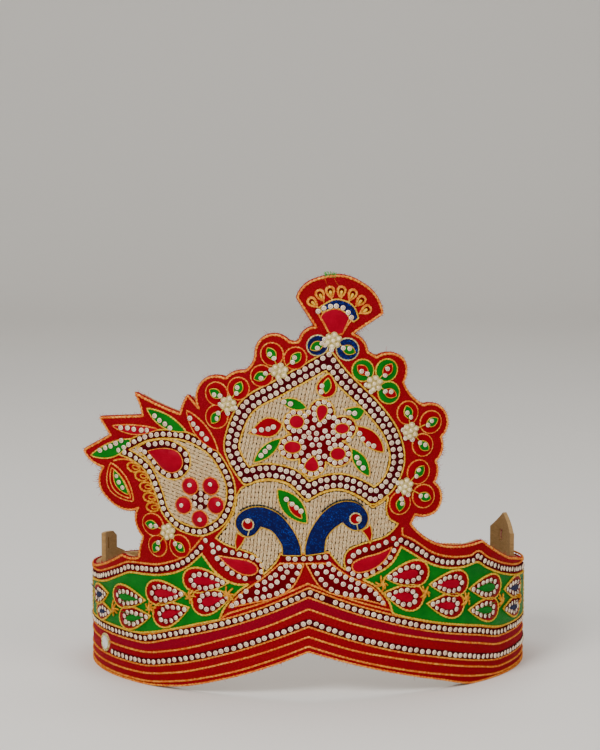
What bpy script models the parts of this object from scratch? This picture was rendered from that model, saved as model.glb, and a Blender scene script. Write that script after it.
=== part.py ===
# Embroidered deity crown: a velvet-covered board band with a tall front plate,
# satin and metal-thread applique, rows of flat-backed stones and two tie tabs.
# The crown is cut flat, as its maker cuts it, and then bent round the head.
# Flat drawings are in millimetres: u runs along the band from the centre front,
# z is height and t is the distance out from the velvet's face.
import math

import bmesh
import bpy
from mathutils import Vector

MM = 0.001

# Plan of the bent band: half an ellipse, then tight arcs that turn in at the back.
HALF_WIDTH = 102.0
FRONT_DEPTH = 86.0
REAR_RADIUS = 45.0
BAND_END = 220.0
# Above the head the front plate runs straight beyond this x, and blends by height.
PLATE_HALF = 45.0
BLEND_LOW = 50.0
BLEND_HIGH = 95.0
BLEND_ROWS = 5
# Facets of the bent sheet.
CELLS_TO_PLATE = 5
CELLS_TO_END = 25
# Behind the crest's tip the sheet stays on the band at every height.
CELLS_TO_CREST = 12
# Moves the crown so that its box is centred on the origin.
CENTRE_X = 0.0
CENTRE_Y = 21.8

# Layers, as distances out from the velvet's face.
GAP = 0.3
VELVET = 1.2
BOARD = 2.0
TAB = 2.0
APPLIQUE = 0.9
BORDER = 1.3
EDGE_MARGIN = 0.8
HALF_ROW = 1.35
# Spacing of the points along drawn edges.
EDGE_STEP = 5.0
BAND_STEP = 12.0
BORDER_STEP = 6.0

VELVET_LAYER = (-VELVET, 0.0)
BOARD_LAYER = (-VELVET - GAP - BOARD, -VELVET - GAP)
TAB_LAYER = (BOARD_LAYER[0] - GAP - TAB, BOARD_LAYER[0] - GAP)
FIRST_LAYER = (GAP, GAP + APPLIQUE)
BORDER_LAYER = (GAP, GAP + BORDER)
SECOND_LAYER = (2 * GAP + APPLIQUE, 2 * GAP + 2 * APPLIQUE)

# Scalloped upper edge from left to right, one arc a row: middle u, z and end u, z.
EDGE_START = (-220.0, 41.0)
EDGE_ARCS = [
    (-183, 43.4, -146, 45.3), (-119, 49.8, -97, 58.3), (-90.5, 57.6, -85, 59),
    (-83.3, 65, -81, 69.3), (-84.2, 75, -82, 83.2), (-91.5, 82.2, -97.5, 86.5),
    (-101, 93.4, -98.6, 101), (-103.3, 102.5, -108.5, 108), (-102, 112, -95, 115.6),
    (-97.3, 119.3, -100.3, 123.3), (-89, 124.1, -79, 125.2), (-80, 129.5, -82.7, 135.4),
    (-72, 130.7, -60.6, 127), (-59.3, 131.5, -57, 135.6), (-54, 132.3, -51.3, 129.8),
    (-49.8, 142.2, -38.7, 144), (-34.6, 147, -29.8, 147.7), (-26.4, 151, -24.9, 155.7),
    (-19.5, 163.6, -10.2, 160.2), (-5, 163, 1.7, 167), (-1.3, 173.3, -6.4, 181),
    (-3.4, 185.8, 3, 189.1), (12, 190.4, 22, 186.7), (29.3, 179.6, 31.4, 173.4),
    (26, 170.5, 20, 166.4), (18.7, 165.2, 17.5, 164.5), (22.4, 161.5, 24.5, 156.4),
    (26.2, 154.8, 28.8, 153.7), (35.5, 155.3, 41.6, 152.2), (42.9, 147, 41.3, 142.4),
    (44.3, 137, 51.6, 131.2), (59.5, 130.2, 63.5, 123), (62.6, 119.6, 60, 116.6),
    (60.9, 111.5, 57.4, 105.8), (58.6, 100.9, 56.7, 96), (60.6, 89, 57.4, 82.6),
    (52.5, 81.3, 47.5, 82.3), (46, 80.4, 45.2, 78), (55, 69.4, 69, 65.3),
    (77, 65.1, 84.5, 66.2), (95, 60, 109, 54), (127, 50.4, 146, 46),
    (183, 43.6, 220, 41)]

# Heights along the band: u, lower edge, lower stone row, upper stone row.
BAND_ROWS = [
    (-220, 0, 10.5, 21.5), (-105, 0, 10.8, 21.5), (-85, 0, 10.8, 21.6),
    (-65, 1.6, 14.1, 26.3), (-38, 8, 21.6, 33.9), (-20, 14, 28, 40.5),
    (-1.5, 21.3, 35.4, 48.8),
    (20, 14.9, 27.7, 40.5), (40, 9.6, 21.9, 34.1), (60, 4.8, 17.4, 28.9),
    (83, 0, 12.5, 24.5), (102, 0, 10, 21), (220, 0, 10, 21)]
APEX_ROW = 6
ROW_END = 212.0
# The lower row starts beside the round mirror at the left.
LOWER_ROW_START = -109.0

# Stone borders above the satin panels, from the top tip to the panel's rear end.
BORDER_LEFT = [(-50.8, 67.4), (-55, 62.9), (-61.5, 58.6), (-72.5, 55), (-80, 54.2),
               (-92, 53.4), (-101, 50.2), (-111, 46.8), (-122, 43.9), (-136.5, 42.6)]
BORDER_RIGHT = [(40.4, 71), (45.7, 68.4), (54.5, 62.4), (62, 59.5), (71, 58),
                (82.3, 59.5), (88, 56), (95.6, 52.8), (104, 50), (118, 47), (136.5, 45.4)]
BORDER_FOOT = 25.2

PANEL_LEFT = [
    [(-50.3, 64.3), (-57, 58.2), (-64, 54.6), (-73, 52.4), (-82, 51.6), (-92, 50.9),
     (-102, 47.2), (-112, 43.6), (-122, 41.6), (-134, 40.3)],
    [(-134, 40.3), (-134, 23.9)],
    [(-134, 23.9), (-105, 23.9), (-85, 24), (-65, 28.6), (-52, 32.4), (-41.8, 35)],
    [(-41.8, 35), (-40.5, 38.8), (-37, 44.2), (-32.5, 49), (-28.2, 52)],
    [(-28.2, 52), (-33.5, 51.6), (-39, 53.3), (-44, 56.8), (-47.5, 60.7), (-50.3, 64.3)]]
PANEL_RIGHT = [
    [(40.6, 68), (46, 64.6), (52, 60.8), (58.5, 57.7), (66, 55.9), (74, 55.5),
     (82, 56.6), (88, 53.4), (95.5, 50.2), (104, 47.5), (118, 44.4), (134, 42.8)],
    [(134, 42.8), (134, 23.5)],
    [(134, 23.5), (102, 23.5), (83, 27), (60, 31.4), (40, 36.7), (36.6, 38.4)],
    [(36.6, 38.4), (35, 43.2), (31.5, 48), (27.8, 51.6), (22.8, 54.1)],
    [(22.8, 54.1), (28, 56.2), (33.5, 58.8), (37.3, 62.3), (40.6, 68)]]

# Heart: the outer stone row's path, clockwise from the apex, a list between corners.
HEART_PATH = [
    [(7.4, 155.4), (15.1, 145.5), (28, 132.6), (37.1, 120.1), (40.1, 107.2), (35.6, 96),
     (27.3, 89.6)],
    [(27.3, 89.6), (21, 94.2), (12.6, 97.3), (4.5, 96.2), (-2.2, 92.4)],
    [(-2.2, 92.4), (-8.9, 99.4), (-17.5, 101.7), (-24.5, 101), (-29.2, 98.5)],
    [(-29.2, 98.5), (-35.2, 107.1), (-37.3, 116.5), (-30, 133.1), (-14.3, 142.9),
     (1.5, 151.9), (7.4, 155.4)]]
HEART_INNER = 4.7
PAISLEY_PATH = [
    [(-91, 109), (-83.5, 106.6), (-76.2, 101.2), (-71.2, 91), (-68.2, 82.3),
     (-61.9, 76.6), (-52, 74.4), (-45.8, 76.5), (-40.2, 80.9), (-36.6, 89.3),
     (-37, 98.3), (-42.6, 108.4), (-49.1, 113.7), (-57.8, 117.2), (-67.9, 117.8),
     (-76.9, 116.2), (-83.5, 113), (-91, 109)]]
PAISLEY_DROP = [
    [(-79.2, 112.3), (-74, 108.8), (-69.3, 102.8), (-63.5, 101.8), (-60, 106),
     (-62.8, 111.3), (-69.5, 113.6), (-79.2, 112.3)]]

# The pale field that the two peacocks stand on.
PEACOCK_FIELD = [
    [(-33.4, 92.5), (-30.8, 95.9), (-24.5, 98.5), (-17.5, 99.4), (-10, 97.2), (-2.4, 90)],
    [(-2.4, 90), (4.5, 93.8), (12.5, 95.1), (20, 92), (27.2, 86.6)],
    [(27.2, 86.6), (31.5, 89), (34.2, 91), (33.3, 86), (34.8, 81.3), (39, 78.6)],
    [(39, 78.6), (35.8, 75.2), (32, 72.9), (27, 71.6), (20, 69.7), (15.6, 67.2),
     (14.2, 63), (15.2, 58.8)],
    [(15.2, 58.8), (12.3, 61), (9.4, 64.6), (7.5, 67.2)],
    [(7.5, 67.2), (-3, 66.6), (-14, 66.4)],
    [(-14, 66.4), (-15.6, 63), (-18.2, 59.8), (-21.6, 56.6)],
    [(-21.6, 56.6), (-22, 60.5), (-25, 65), (-31, 67.5), (-38.5, 69.4), (-43.5, 72.2)],
    [(-43.5, 72.2), (-38.2, 78.6), (-34.8, 85), (-33.4, 92.5)]]
NECK_LEFT = [
    [(-4.7, 66.9), (-5.2, 72), (-9.2, 80.3), (-15.5, 85.7), (-23.2, 87.7), (-30.5, 85.8),
     (-33.6, 80.5), (-31.8, 75.8), (-27.5, 74.5), (-23, 78.4)],
    [(-23, 78.4), (-17.8, 77), (-14.4, 71.9), (-13.1, 66.9)],
    [(-13.1, 66.9), (-4.7, 66.9)]]
NECK_RIGHT = [
    [(5.3, 67.4), (5.9, 73), (8.5, 78), (13.2, 80.7)],
    [(13.2, 80.7), (16.5, 78), (21.6, 77.8), (24.7, 82.6), (21, 88.8), (13.6, 90),
     (5.8, 86.5), (0.1, 80.3), (-2.6, 73), (-2.7, 67.1)],
    [(-2.7, 67.1), (5.3, 67.4)]]
COLLAR = [[(-13.6, 62.9), (-13.4, 65.6)], [(-13.4, 65.6), (-3.5, 65.8), (6.6, 66.2)],
          [(6.6, 66.2), (6.8, 63.2)], [(6.8, 63.2), (-3.5, 62.9), (-13.6, 62.9)]]
TAIL_LEFT = [
    [(-14, 61.9), (-18.5, 58), (-22.4, 54.6), (-27.4, 51), (-32.5, 46.9), (-37.6, 40.9)],
    [(-37.6, 40.9), (-30.5, 42.6), (-24.5, 44.2), (-18, 45.5), (-11.3, 48.6), (-7, 53.8),
     (-4.8, 61.9)],
    [(-4.8, 61.9), (-14, 61.9)]]
TAIL_RIGHT = [
    [(-0.3, 61.9), (2.6, 54), (7.5, 48.8), (17.5, 46), (24, 44.8), (33.4, 41.8)],
    [(33.4, 41.8), (31, 46.2), (27, 50.4), (21, 53.6), (15.2, 56.6), (10.7, 60), (8.6, 61.9)],
    [(8.6, 61.9), (-0.3, 61.9)]]

FAN_DOME = [[(7.5, 167), (3.6, 171.6)], [(3.6, 171.6), (9.9, 174.9), (17, 169.4)],
            [(17, 169.4), (13.3, 165.6)], [(13.3, 165.6), (7.5, 167)]]
FAN_CRESCENT = [
    [(3.2, 176.4), (9.7, 179.9), (15.2, 178.9), (18.5, 176.2), (20.4, 171.6)],
    [(20.4, 171.6), (18.7, 169.8)],
    [(18.7, 169.8), (14.8, 174.2), (10.2, 176), (4.4, 174.2)],
    [(4.4, 174.2), (3.2, 176.4)]]
FAN_HUB = (11.0, 168.2)
FAN_PETALS = 7
FAN_PETAL_RADIUS = 15.0
FAN_FIRST_ANGLE = 137.0
FAN_LAST_ANGLE = 27.0

# Flowers: ovals as centre u, z, half width, half height, the rosette first.
FLOWERS = {
    "flower_top_left": [(-14.2, 149.5, 4.2, 4.2), (-17.6, 155.3, 5.2, 5.7),
                        (-8, 154, 4.6, 4.3), (-21.8, 146.3, 5.5, 4.3)],
    "flower_upper_left": [(-37.9, 133.7, 4.3, 4.3), (-42.9, 137, 5.5, 5.3),
                          (-33, 140.3, 4.7, 4.9), (-43.5, 127.3, 5.9, 4.9)],
    "flower_upper_right": [(28.6, 142.4, 4.3, 4.3), (22.6, 148.2, 5, 5.2),
                           (33.7, 148, 5, 5.2), (34.9, 137.6, 5.4, 4.8)],
    "flower_right": [(46.6, 120.6, 4.9, 4.9), (43.8, 128.9, 5.1, 5),
                     (54.6, 123.8, 5.4, 5), (51, 113.3, 5.2, 5)],
    "flower_lower_right": [(45, 94.6, 4.9, 4.9), (49.4, 101.7, 5.8, 5.2),
                           (51.9, 90, 5.6, 5.2), (40.2, 86.4, 5.3, 5.1)],
    "flower_lower_left": [(-68, 72.2, 4.7, 4.7), (-75.7, 76.5, 5.6, 5.2),
                          (-74, 66.3, 5.4, 4.7), (-61.7, 66.7, 5.6, 5.1)],
    "flower_fan": [(8.8, 161.3, 3.9, 3.9), (2.3, 159.9, 5, 4.4), (16.2, 158, 4.6, 4.9)],
}
HEART_FLOWER = [(1.8, 118, 6.5, 6.5), (4.1, 129.4, 5.6, 6.2), (-6.7, 125.4, 5.6, 5.4),
                (13.3, 122.8, 6, 5.4), (-8.3, 114.6, 6, 5.6), (11.3, 111.5, 6, 5.6),
                (0.2, 107.6, 5.6, 6)]
PAISLEY_BALLS = [(-50.6, 88.8, 5.2, 5.2), (-55.3, 94.6, 4.2, 4.2), (-45.6, 95.3, 4.2, 4.2),
                 (-58.8, 85.7, 4.2, 4.2), (-44, 87.6, 4, 4), (-51.5, 81.3, 4, 4)]

# Pairs of pointed leaves on the satin: u, z, length, height and tilt of each leaf.
LEAF_PAIRS = {
    "leaf_pair_left_1": [(-49.5, 52, 22, 11, 0), (-46.4, 43, 20, 11.5, 18)],
    "leaf_pair_left_2": [(-70.5, 44.4, 22, 11, 5), (-67.5, 35.6, 20.5, 11, 20)],
    "leaf_pair_left_3": [(-94.5, 38.6, 23, 10.6, 2), (-90, 30.2, 21.5, 10.4, 12)],
    "leaf_pair_left_4": [(-118.5, 35.8, 18, 9.5, 12), (-115, 28.6, 17, 8.6, 8)],
    "leaf_pair_right_1": [(43.2, 54.4, 21.5, 11.6, 4), (41.8, 44.6, 19, 11.6, -14)],
    "leaf_pair_right_2": [(65.3, 48.8, 21, 11.4, -4), (63.6, 38, 20, 11, -10)],
    "leaf_pair_right_3": [(88.5, 42.8, 22.5, 11.4, -5), (87.2, 32.6, 21, 10.6, -8)],
    "leaf_pair_right_4": [(113.6, 38.4, 20, 10.4, -6), (112.6, 29.2, 19, 9.6, -6)],
}

# Single leaves: first tip, second tip, and the swell to the left and right of the chord.
CREST_LEAVES = {
    "crest_leaf_green_low": (-104.6, 107.4, -90.6, 113.8, 1.4, 2.6),
    "crest_leaf_magenta": (-94.4, 120.2, -74, 120, 1.6, 3.4),
    "crest_leaf_green_high": (-76.9, 128.7, -58.4, 120.2, 1.6, 3.0),
    "crest_leaf_red": (-57.2, 128.4, -45.2, 115.6, 1.8, 2.6),
    "crest_petal": (-94.4, 102.6, -84.8, 86.4, 3.2, 5.6),
}
HEART_LEAVES = {
    "heart_bud": (4.1, 136.8, 7.2, 146.6, 3.4, 3.4),
    "heart_leaf_green_1": (-13.4, 135.6, -3.4, 132.6, 1.9, 1.7),
    "heart_leaf_green_2": (14.6, 131.2, 22.9, 130.1, 1.4, 3),
    "heart_leaf_red_1": (-27.4, 120.8, -14.8, 126.2, 3, 3),
    "heart_leaf_red_2": (20, 123.2, 31.6, 112, 3, 3),
    "heart_leaf_green_3": (-24.4, 107.8, -14.8, 117.4, 2, 2),
    "heart_leaf_green_4": (18.4, 112.4, 25, 101.8, 2, 2),
}
PEACOCK_LEAVES = {
    "peacock_leaf": (-13.8, 93, -3.2, 81.2, 3.4, 3.4),
    "peacock_beak_left": (-33.3, 73.6, -33.9, 68.6, 1, 1.4),
    "peacock_beak_right": (25.2, 77, 26.6, 72.3, 1.2, 1.2),
}
WING_DROP_LEFT = [
    [(-45.6, 68.6), (-38.5, 66.6), (-30, 64.8), (-25.6, 61.8), (-25.4, 57.8), (-28.5, 55.4),
     (-34, 55.2), (-40, 57.9), (-45.6, 68.6)]]
WING_DROP_RIGHT = [
    [(36.2, 69.9), (30, 67.6), (22, 65.6), (18.2, 63), (18.3, 58.8), (22, 57), (28, 59),
     (32.6, 61.8), (36.2, 69.9)]]

# Tie tab on each side of the back: its outline and the slit that the tie goes through.
TAB_RIGHT = [
    [(146, 14), (176, 14), (176, 57.5), (163, 66), (150, 58.5), (146, 58.5)],
    [(163.5, 51.5), (167.5, 51.5), (167.5, 57.5), (163.5, 57.5)]]
TAB_LEFT = [
    [(-146, 14), (-146, 59.5), (-165.5, 57.2), (-169.5, 54.7), (-169.5, 48.8), (-177, 46), (-174, 14)],
    [(-155.5, 50), (-155.5, 55.5), (-158.5, 55.5), (-158.5, 50)]]
MIRROR = (-114.0, 14.0, 4.3)

BOARD_BROWN = ((0.32, 0.17, 0.075), 0.85, 0.0)
RED_VELVET = ((0.30, 0.006, 0.012), 0.9, 0.0)
GREEN_SATIN = ((0.005, 0.20, 0.02), 0.45, 0.0)
PALE_ZARI = ((0.56, 0.42, 0.24), 0.4, 0.5)
MAROON = ((0.09, 0.004, 0.012), 0.7, 0.0)
MAGENTA = ((0.42, 0.004, 0.05), 0.35, 0.0)
SEQUIN_BLUE = ((0.01, 0.03, 0.32), 0.3, 0.4)
YELLOW_THREAD = ((0.62, 0.36, 0.03), 0.5, 0.2)
LEAF_RED = ((0.38, 0.006, 0.01), 0.5, 0.0)
MIRROR_GLASS = ((0.80, 0.82, 0.80), 0.05, 0.9)


def empty_scene():
    for item in list(bpy.data.objects):
        bpy.data.objects.remove(item, do_unlink=True)


def make_material(name, finish):
    colour, roughness, metallic = finish
    material = bpy.data.materials.new(name)
    material.use_nodes = True
    shader = material.node_tree.nodes["Principled BSDF"]
    shader.inputs["Base Color"].default_value = (*colour, 1)
    shader.inputs["Roughness"].default_value = roughness
    shader.inputs["Metallic"].default_value = metallic
    return material


# The bent sheet

def build_arc_table(steps=2000):
    """Arc length along the front quarter ellipse against its angle."""
    table = [(0.0, 0.0)]
    length, before = 0.0, (0.0, -FRONT_DEPTH)
    for i in range(1, steps + 1):
        angle = math.pi / 2 * i / steps
        point = (HALF_WIDTH * math.sin(angle), -FRONT_DEPTH * math.cos(angle))
        length += math.dist(point, before)
        table.append((length, angle))
        before = point
    return table


ARC_TABLE = build_arc_table()
QUARTER = ARC_TABLE[-1][0]


def band_plan(u):
    """Plan position on the band that goes round the head, for u of zero or more."""
    if u >= QUARTER:
        turn = (u - QUARTER) / REAR_RADIUS
        return HALF_WIDTH - REAR_RADIUS * (1 - math.cos(turn)), REAR_RADIUS * math.sin(turn)
    low, high = 0, len(ARC_TABLE) - 1
    while high - low > 1:
        middle = (low + high) // 2
        if ARC_TABLE[middle][0] <= u:
            low = middle
        else:
            high = middle
    (u0, a0), (u1, a1) = ARC_TABLE[low], ARC_TABLE[high]
    angle = a0 + (a1 - a0) * (u - u0) / (u1 - u0)
    return HALF_WIDTH * math.sin(angle), -FRONT_DEPTH * math.cos(angle)


PLATE_ANGLE = math.asin(PLATE_HALF / HALF_WIDTH)
PLATE_U = next(s for s, a in ARC_TABLE if a >= PLATE_ANGLE)
PLATE_SLOPE = math.atan2(FRONT_DEPTH * math.sin(PLATE_ANGLE), HALF_WIDTH * math.cos(PLATE_ANGLE))


def plate_plan(u):
    """Plan position on the front plate, straight beyond PLATE_HALF."""
    if u <= PLATE_U:
        return band_plan(u)
    x, y = band_plan(PLATE_U)
    run = u - PLATE_U
    return x + run * math.cos(PLATE_SLOPE), y + run * math.sin(PLATE_SLOPE)


def plan(u, blend):
    side = -1 if u < 0 else 1
    bx, by = band_plan(abs(u))
    px, py = plate_plan(abs(u))
    return Vector((side * (bx + (px - bx) * blend), by + (py - by) * blend, 0))


def outward(u, blend):
    """Unit normal of the plan curve, away from the head."""
    reach = 0.5
    along = plan(u + reach, blend) - plan(u - reach, blend)
    return Vector((along.y, -along.x, 0)).normalized()


CELL = PLATE_U / CELLS_TO_PLATE
CELL_HEIGHT = (BLEND_HIGH - BLEND_LOW) / BLEND_ROWS


def sheet_node(column, row):
    u = column * CELL
    share = row / BLEND_ROWS if abs(column) <= CELLS_TO_CREST else 0
    blend = share * share * (3 - 2 * share)
    return plan(u, blend), outward(u, blend)


NODES = {(c, r): sheet_node(c, r)
         for c in range(-CELLS_TO_END - 1, CELLS_TO_END + 2) for r in range(BLEND_ROWS + 1)}


def bend(u, z, t):
    """Place of a flat point on the faceted sheet, in metres."""
    column = math.floor(u / CELL)
    column = min(max(column, -CELLS_TO_END - 1), CELLS_TO_END)
    across = u / CELL - column
    height = min(max((z - BLEND_LOW) / CELL_HEIGHT, 0), BLEND_ROWS)
    row = min(int(height), BLEND_ROWS - 1)
    up = height - row
    corner, diagonal = NODES[column, row], NODES[column + 1, row + 1]
    if across >= up:
        side = NODES[column + 1, row]
        weights = (1 - across, across - up, up)
    else:
        side = NODES[column, row + 1]
        weights = (1 - up, up - across, across)
    place = Vector((0, 0, 0))
    for (base, normal), weight in zip((corner, side, diagonal), weights):
        place += weight * (base + t * normal)
    return Vector((place.x + CENTRE_X, place.y + CENTRE_Y, z)) * MM


# Flat drawing

def smooth(points, spacing):
    """Points along a smooth curve through the given ones, about spacing apart."""
    if len(points) == 2:
        return list(points)
    result = []
    for i in range(len(points) - 1):
        p0 = points[max(i - 1, 0)]
        p1, p2 = points[i], points[i + 1]
        p3 = points[min(i + 2, len(points) - 1)]
        steps = max(1, round(math.dist(p1, p2) / spacing))
        for k in range(steps):
            s = k / steps
            result.append(tuple(
                0.5 * (2 * b + (c - a) * s + (2 * a - 5 * b + 4 * c - d) * s * s
                       + (3 * b - a - 3 * c + d) * s ** 3)
                for a, b, c, d in zip(p0, p1, p2, p3)))
    result.append(tuple(points[-1]))
    return result


def loop(stretches, spacing):
    """A closed outline made of smooth stretches that meet at corners."""
    points = []
    for stretch in stretches:
        points += smooth(stretch, spacing)[:-1]
    return points


def arc_points(start, middle, end, spacing):
    """Points from start up to but not including end, on the circle through all three."""
    (ax, ay), (bx, by), (cx, cy) = start, middle, end
    d = 2 * (ax * (by - cy) + bx * (cy - ay) + cx * (ay - by))
    chord = math.dist(start, end)
    if abs(d) < chord:
        steps = max(1, round(chord / spacing))
        return [(ax + (cx - ax) * i / steps, ay + (cy - ay) * i / steps) for i in range(steps)]
    a2, b2, c2 = ax * ax + ay * ay, bx * bx + by * by, cx * cx + cy * cy
    ox = (a2 * (by - cy) + b2 * (cy - ay) + c2 * (ay - by)) / d
    oy = (a2 * (cx - bx) + b2 * (ax - cx) + c2 * (bx - ax)) / d
    radius = math.dist((ox, oy), start)
    first = math.atan2(ay - oy, ax - ox)
    turn = math.atan2(cy - oy, cx - ox) - first
    if d < 0:
        turn = -((-turn) % math.tau)
    else:
        turn %= math.tau
    steps = max(2, round(radius * abs(turn) / spacing))
    return [(ox + radius * math.cos(first + turn * i / steps),
             oy + radius * math.sin(first + turn * i / steps)) for i in range(steps)]


def signed_area(points):
    return sum(a[0] * b[1] - b[0] * a[1] for a, b in zip(points, points[1:] + points[:1])) / 2


def distance_to(point, path):
    best = math.inf
    for a, b in zip(path, path[1:] + path[:1]):
        dx, dy = b[0] - a[0], b[1] - a[1]
        share = ((point[0] - a[0]) * dx + (point[1] - a[1]) * dy) / (dx * dx + dy * dy)
        share = min(max(share, 0), 1)
        best = min(best, math.dist(point, (a[0] + dx * share, a[1] + dy * share)))
    return best


def offset(path, distance):
    """A closed path moved outwards, or inwards where the distance is negative."""
    turn = 1 if signed_area(path) > 0 else -1
    moved = []
    count = len(path)
    for i, point in enumerate(path):
        before, after = path[i - 1], path[(i + 1) % count]
        d1 = Vector((point[0] - before[0], point[1] - before[1])).normalized()
        d2 = Vector((after[0] - point[0], after[1] - point[1])).normalized()
        n1, n2 = Vector((d1.y, -d1.x)) * turn, Vector((d2.y, -d2.x)) * turn
        middle = (n1 + n2).normalized()
        stretch = min(1 / max(middle.dot(n1), 0.2), 2.2)
        spot = (point[0] + middle.x * distance * stretch, point[1] + middle.y * distance * stretch)
        if distance_to(spot, path) > abs(distance) - 0.05:
            moved.append(spot)
    return moved


def strip(path, half_width):
    """The outline of a ribbon along an open path."""
    sides = ([], [])
    for i, point in enumerate(path):
        before, after = path[max(i - 1, 0)], path[min(i + 1, len(path) - 1)]
        along = Vector((after[0] - before[0], after[1] - before[1])).normalized()
        for side, points in zip((1, -1), sides):
            points.append((point[0] - side * along.y * half_width,
                           point[1] + side * along.x * half_width))
    return sides[0] + sides[1][::-1]


def oval(u, z, half_width, half_height, tilt=0.0, sides=12):
    turn = math.radians(tilt)
    points = []
    for i in range(sides):
        a = math.tau * i / sides
        x, y = half_width * math.cos(a), half_height * math.sin(a)
        points.append((u + x * math.cos(turn) - y * math.sin(turn),
                       z + x * math.sin(turn) + y * math.cos(turn)))
    return points


def leaf(first_u, first_z, last_u, last_z, swell_left, swell_right, steps=5):
    """A pointed leaf between two tips, seen along the chord."""
    chord = Vector((last_u - first_u, last_z - first_z))
    left = Vector((-chord.y, chord.x)).normalized()
    points = []
    for side, swell in ((1, swell_left), (-1, swell_right)):
        for i in range(steps):
            share = i / steps if side > 0 else 1 - i / steps
            bulge = side * swell * math.sin(math.pi * share) ** 0.8
            points.append((first_u + chord.x * share + left.x * bulge,
                           first_z + chord.y * share + left.y * bulge))
    return points


def band_path(column):
    """Smooth path of one height column of BAND_ROWS, with its corner at the front."""
    points = [(row[0], row[column]) for row in BAND_ROWS]
    left, right = points[:APEX_ROW + 1], points[APEX_ROW:]
    return smooth(left, BAND_STEP)[:-1] + smooth(right, BAND_STEP)


def crown_outline():
    """The whole flat pattern: scalloped top edge and the cut-away lower edge."""
    points = []
    start = EDGE_START
    for middle_u, middle_z, end_u, end_z in EDGE_ARCS:
        end = (end_u, end_z)
        points += arc_points(start, (middle_u, middle_z), end, EDGE_STEP)
        start = end
    points.append(start)
    top = [p for p in offset(points + [(BAND_END, 0), (-BAND_END, 0)], EDGE_MARGIN) if p[1] > 30]
    lower = [(u, max(z, 0.0)) for u, z in band_path(1) if abs(u) < 100]
    lower = [(-BAND_END, 0.0), (-100.0, 0.0)] + lower + [(100.0, 0.0), (BAND_END, 0.0)]
    return top + lower[::-1]


# Solids

def flat_mesh(outlines, layer):
    """A mesh of the flat plate with the given outlines, its holes included."""
    curve = bpy.data.curves.new("outline", "CURVE")
    curve.dimensions = "2D"
    curve.fill_mode = "BOTH"
    curve.extrude = (layer[1] - layer[0]) / 2
    for points in outlines:
        spline = curve.splines.new("POLY")
        spline.points.add(len(points) - 1)
        for spot, (u, z) in zip(spline.points, points):
            spot.co = (u, z, 0, 1)
        spline.use_cyclic_u = True
    holder = bpy.data.objects.new("outline", curve)
    bpy.context.scene.collection.objects.link(holder)
    mesh = bpy.data.meshes.new_from_object(holder.evaluated_get(bpy.context.evaluated_depsgraph_get()))
    bpy.data.objects.remove(holder, do_unlink=True)
    bpy.data.curves.remove(curve)
    plate = bmesh.new()
    plate.from_mesh(mesh)
    bmesh.ops.remove_doubles(plate, verts=plate.verts, dist=0.001)
    bmesh.ops.dissolve_limit(plate, angle_limit=0.001, verts=plate.verts, edges=plate.edges,
                             use_dissolve_boundaries=False)
    bmesh.ops.translate(plate, verts=plate.verts, vec=(0, 0, (layer[0] + layer[1]) / 2))
    bmesh.ops.recalc_face_normals(plate, faces=plate.faces)
    plate.to_mesh(mesh)
    plate.free()
    return mesh


def union_mesh(outlines, layer):
    """One plate made of overlapping outlines."""
    base = bpy.data.objects.new("base", flat_mesh([outlines[0]], layer))
    bpy.context.scene.collection.objects.link(base)
    helpers = [base]
    for points in outlines[1:]:
        helper = bpy.data.objects.new("piece", flat_mesh([points], layer))
        bpy.context.scene.collection.objects.link(helper)
        joint = base.modifiers.new("join", "BOOLEAN")
        joint.operation = "UNION"
        joint.object = helper
        helpers.append(helper)
    mesh = bpy.data.meshes.new_from_object(base.evaluated_get(bpy.context.evaluated_depsgraph_get()))
    for helper in helpers:
        bpy.data.objects.remove(helper, do_unlink=True)
    tidy = bmesh.new()
    tidy.from_mesh(mesh)
    bmesh.ops.remove_doubles(tidy, verts=tidy.verts, dist=0.005)
    bmesh.ops.dissolve_limit(tidy, angle_limit=0.001, verts=tidy.verts, edges=tidy.edges,
                             use_dissolve_boundaries=False)
    tidy.to_mesh(mesh)
    tidy.free()
    return mesh


def cut(plate, faces, point, normal):
    edges = {e for f in faces for e in f.edges}
    verts = {v for f in faces for v in f.verts}
    bmesh.ops.bisect_plane(plate, geom=list(faces) + list(edges) + list(verts),
                           plane_co=point, plane_no=normal, dist=0.0001)


def in_blend(face):
    centre = face.calc_center_median()
    return abs(centre.x) > PLATE_U and BLEND_LOW < centre.y < BLEND_HIGH


def facet(plate):
    """Cuts the flat plate along the sheet's facet lines."""
    us = [v.co.x for v in plate.verts]
    for column in range(math.ceil(min(us) / CELL), math.floor(max(us) / CELL) + 1):
        cut(plate, plate.faces[:], (column * CELL, 0, 0), (1, 0, 0))
    for row in range(BLEND_ROWS + 1):
        level = BLEND_LOW + row * CELL_HEIGHT
        wide = [f for f in plate.faces if abs(f.calc_center_median().x) > PLATE_U]
        if wide:
            cut(plate, wide, (0, level, 0), (0, 1, 0))
    for line in range(-CELLS_TO_END - BLEND_ROWS, CELLS_TO_END + 1):
        band = [f for f in plate.faces if in_blend(f)]
        if band:
            cut(plate, band, (line * CELL, BLEND_LOW, 0), (CELL_HEIGHT, -CELL, 0))
    bmesh.ops.remove_doubles(plate, verts=plate.verts, dist=0.04)


def add_part(name, mesh, material, crown):
    mesh.name = name
    mesh.materials.clear()
    mesh.materials.append(material)
    part = bpy.data.objects.new(name, mesh)
    crown.objects.link(part)
    return part


def bent_part(name, mesh, material, crown):
    """Facets a flat mesh, bends it round the head and makes it a part."""
    plate = bmesh.new()
    plate.from_mesh(mesh)
    facet(plate)
    for vert in plate.verts:
        vert.co = bend(*vert.co)
    bmesh.ops.recalc_face_normals(plate, faces=plate.faces)
    if plate.calc_volume(signed=True) < 0:
        bmesh.ops.reverse_faces(plate, faces=plate.faces)
    plate.to_mesh(mesh)
    plate.free()
    return add_part(name, mesh, material, crown)


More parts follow.
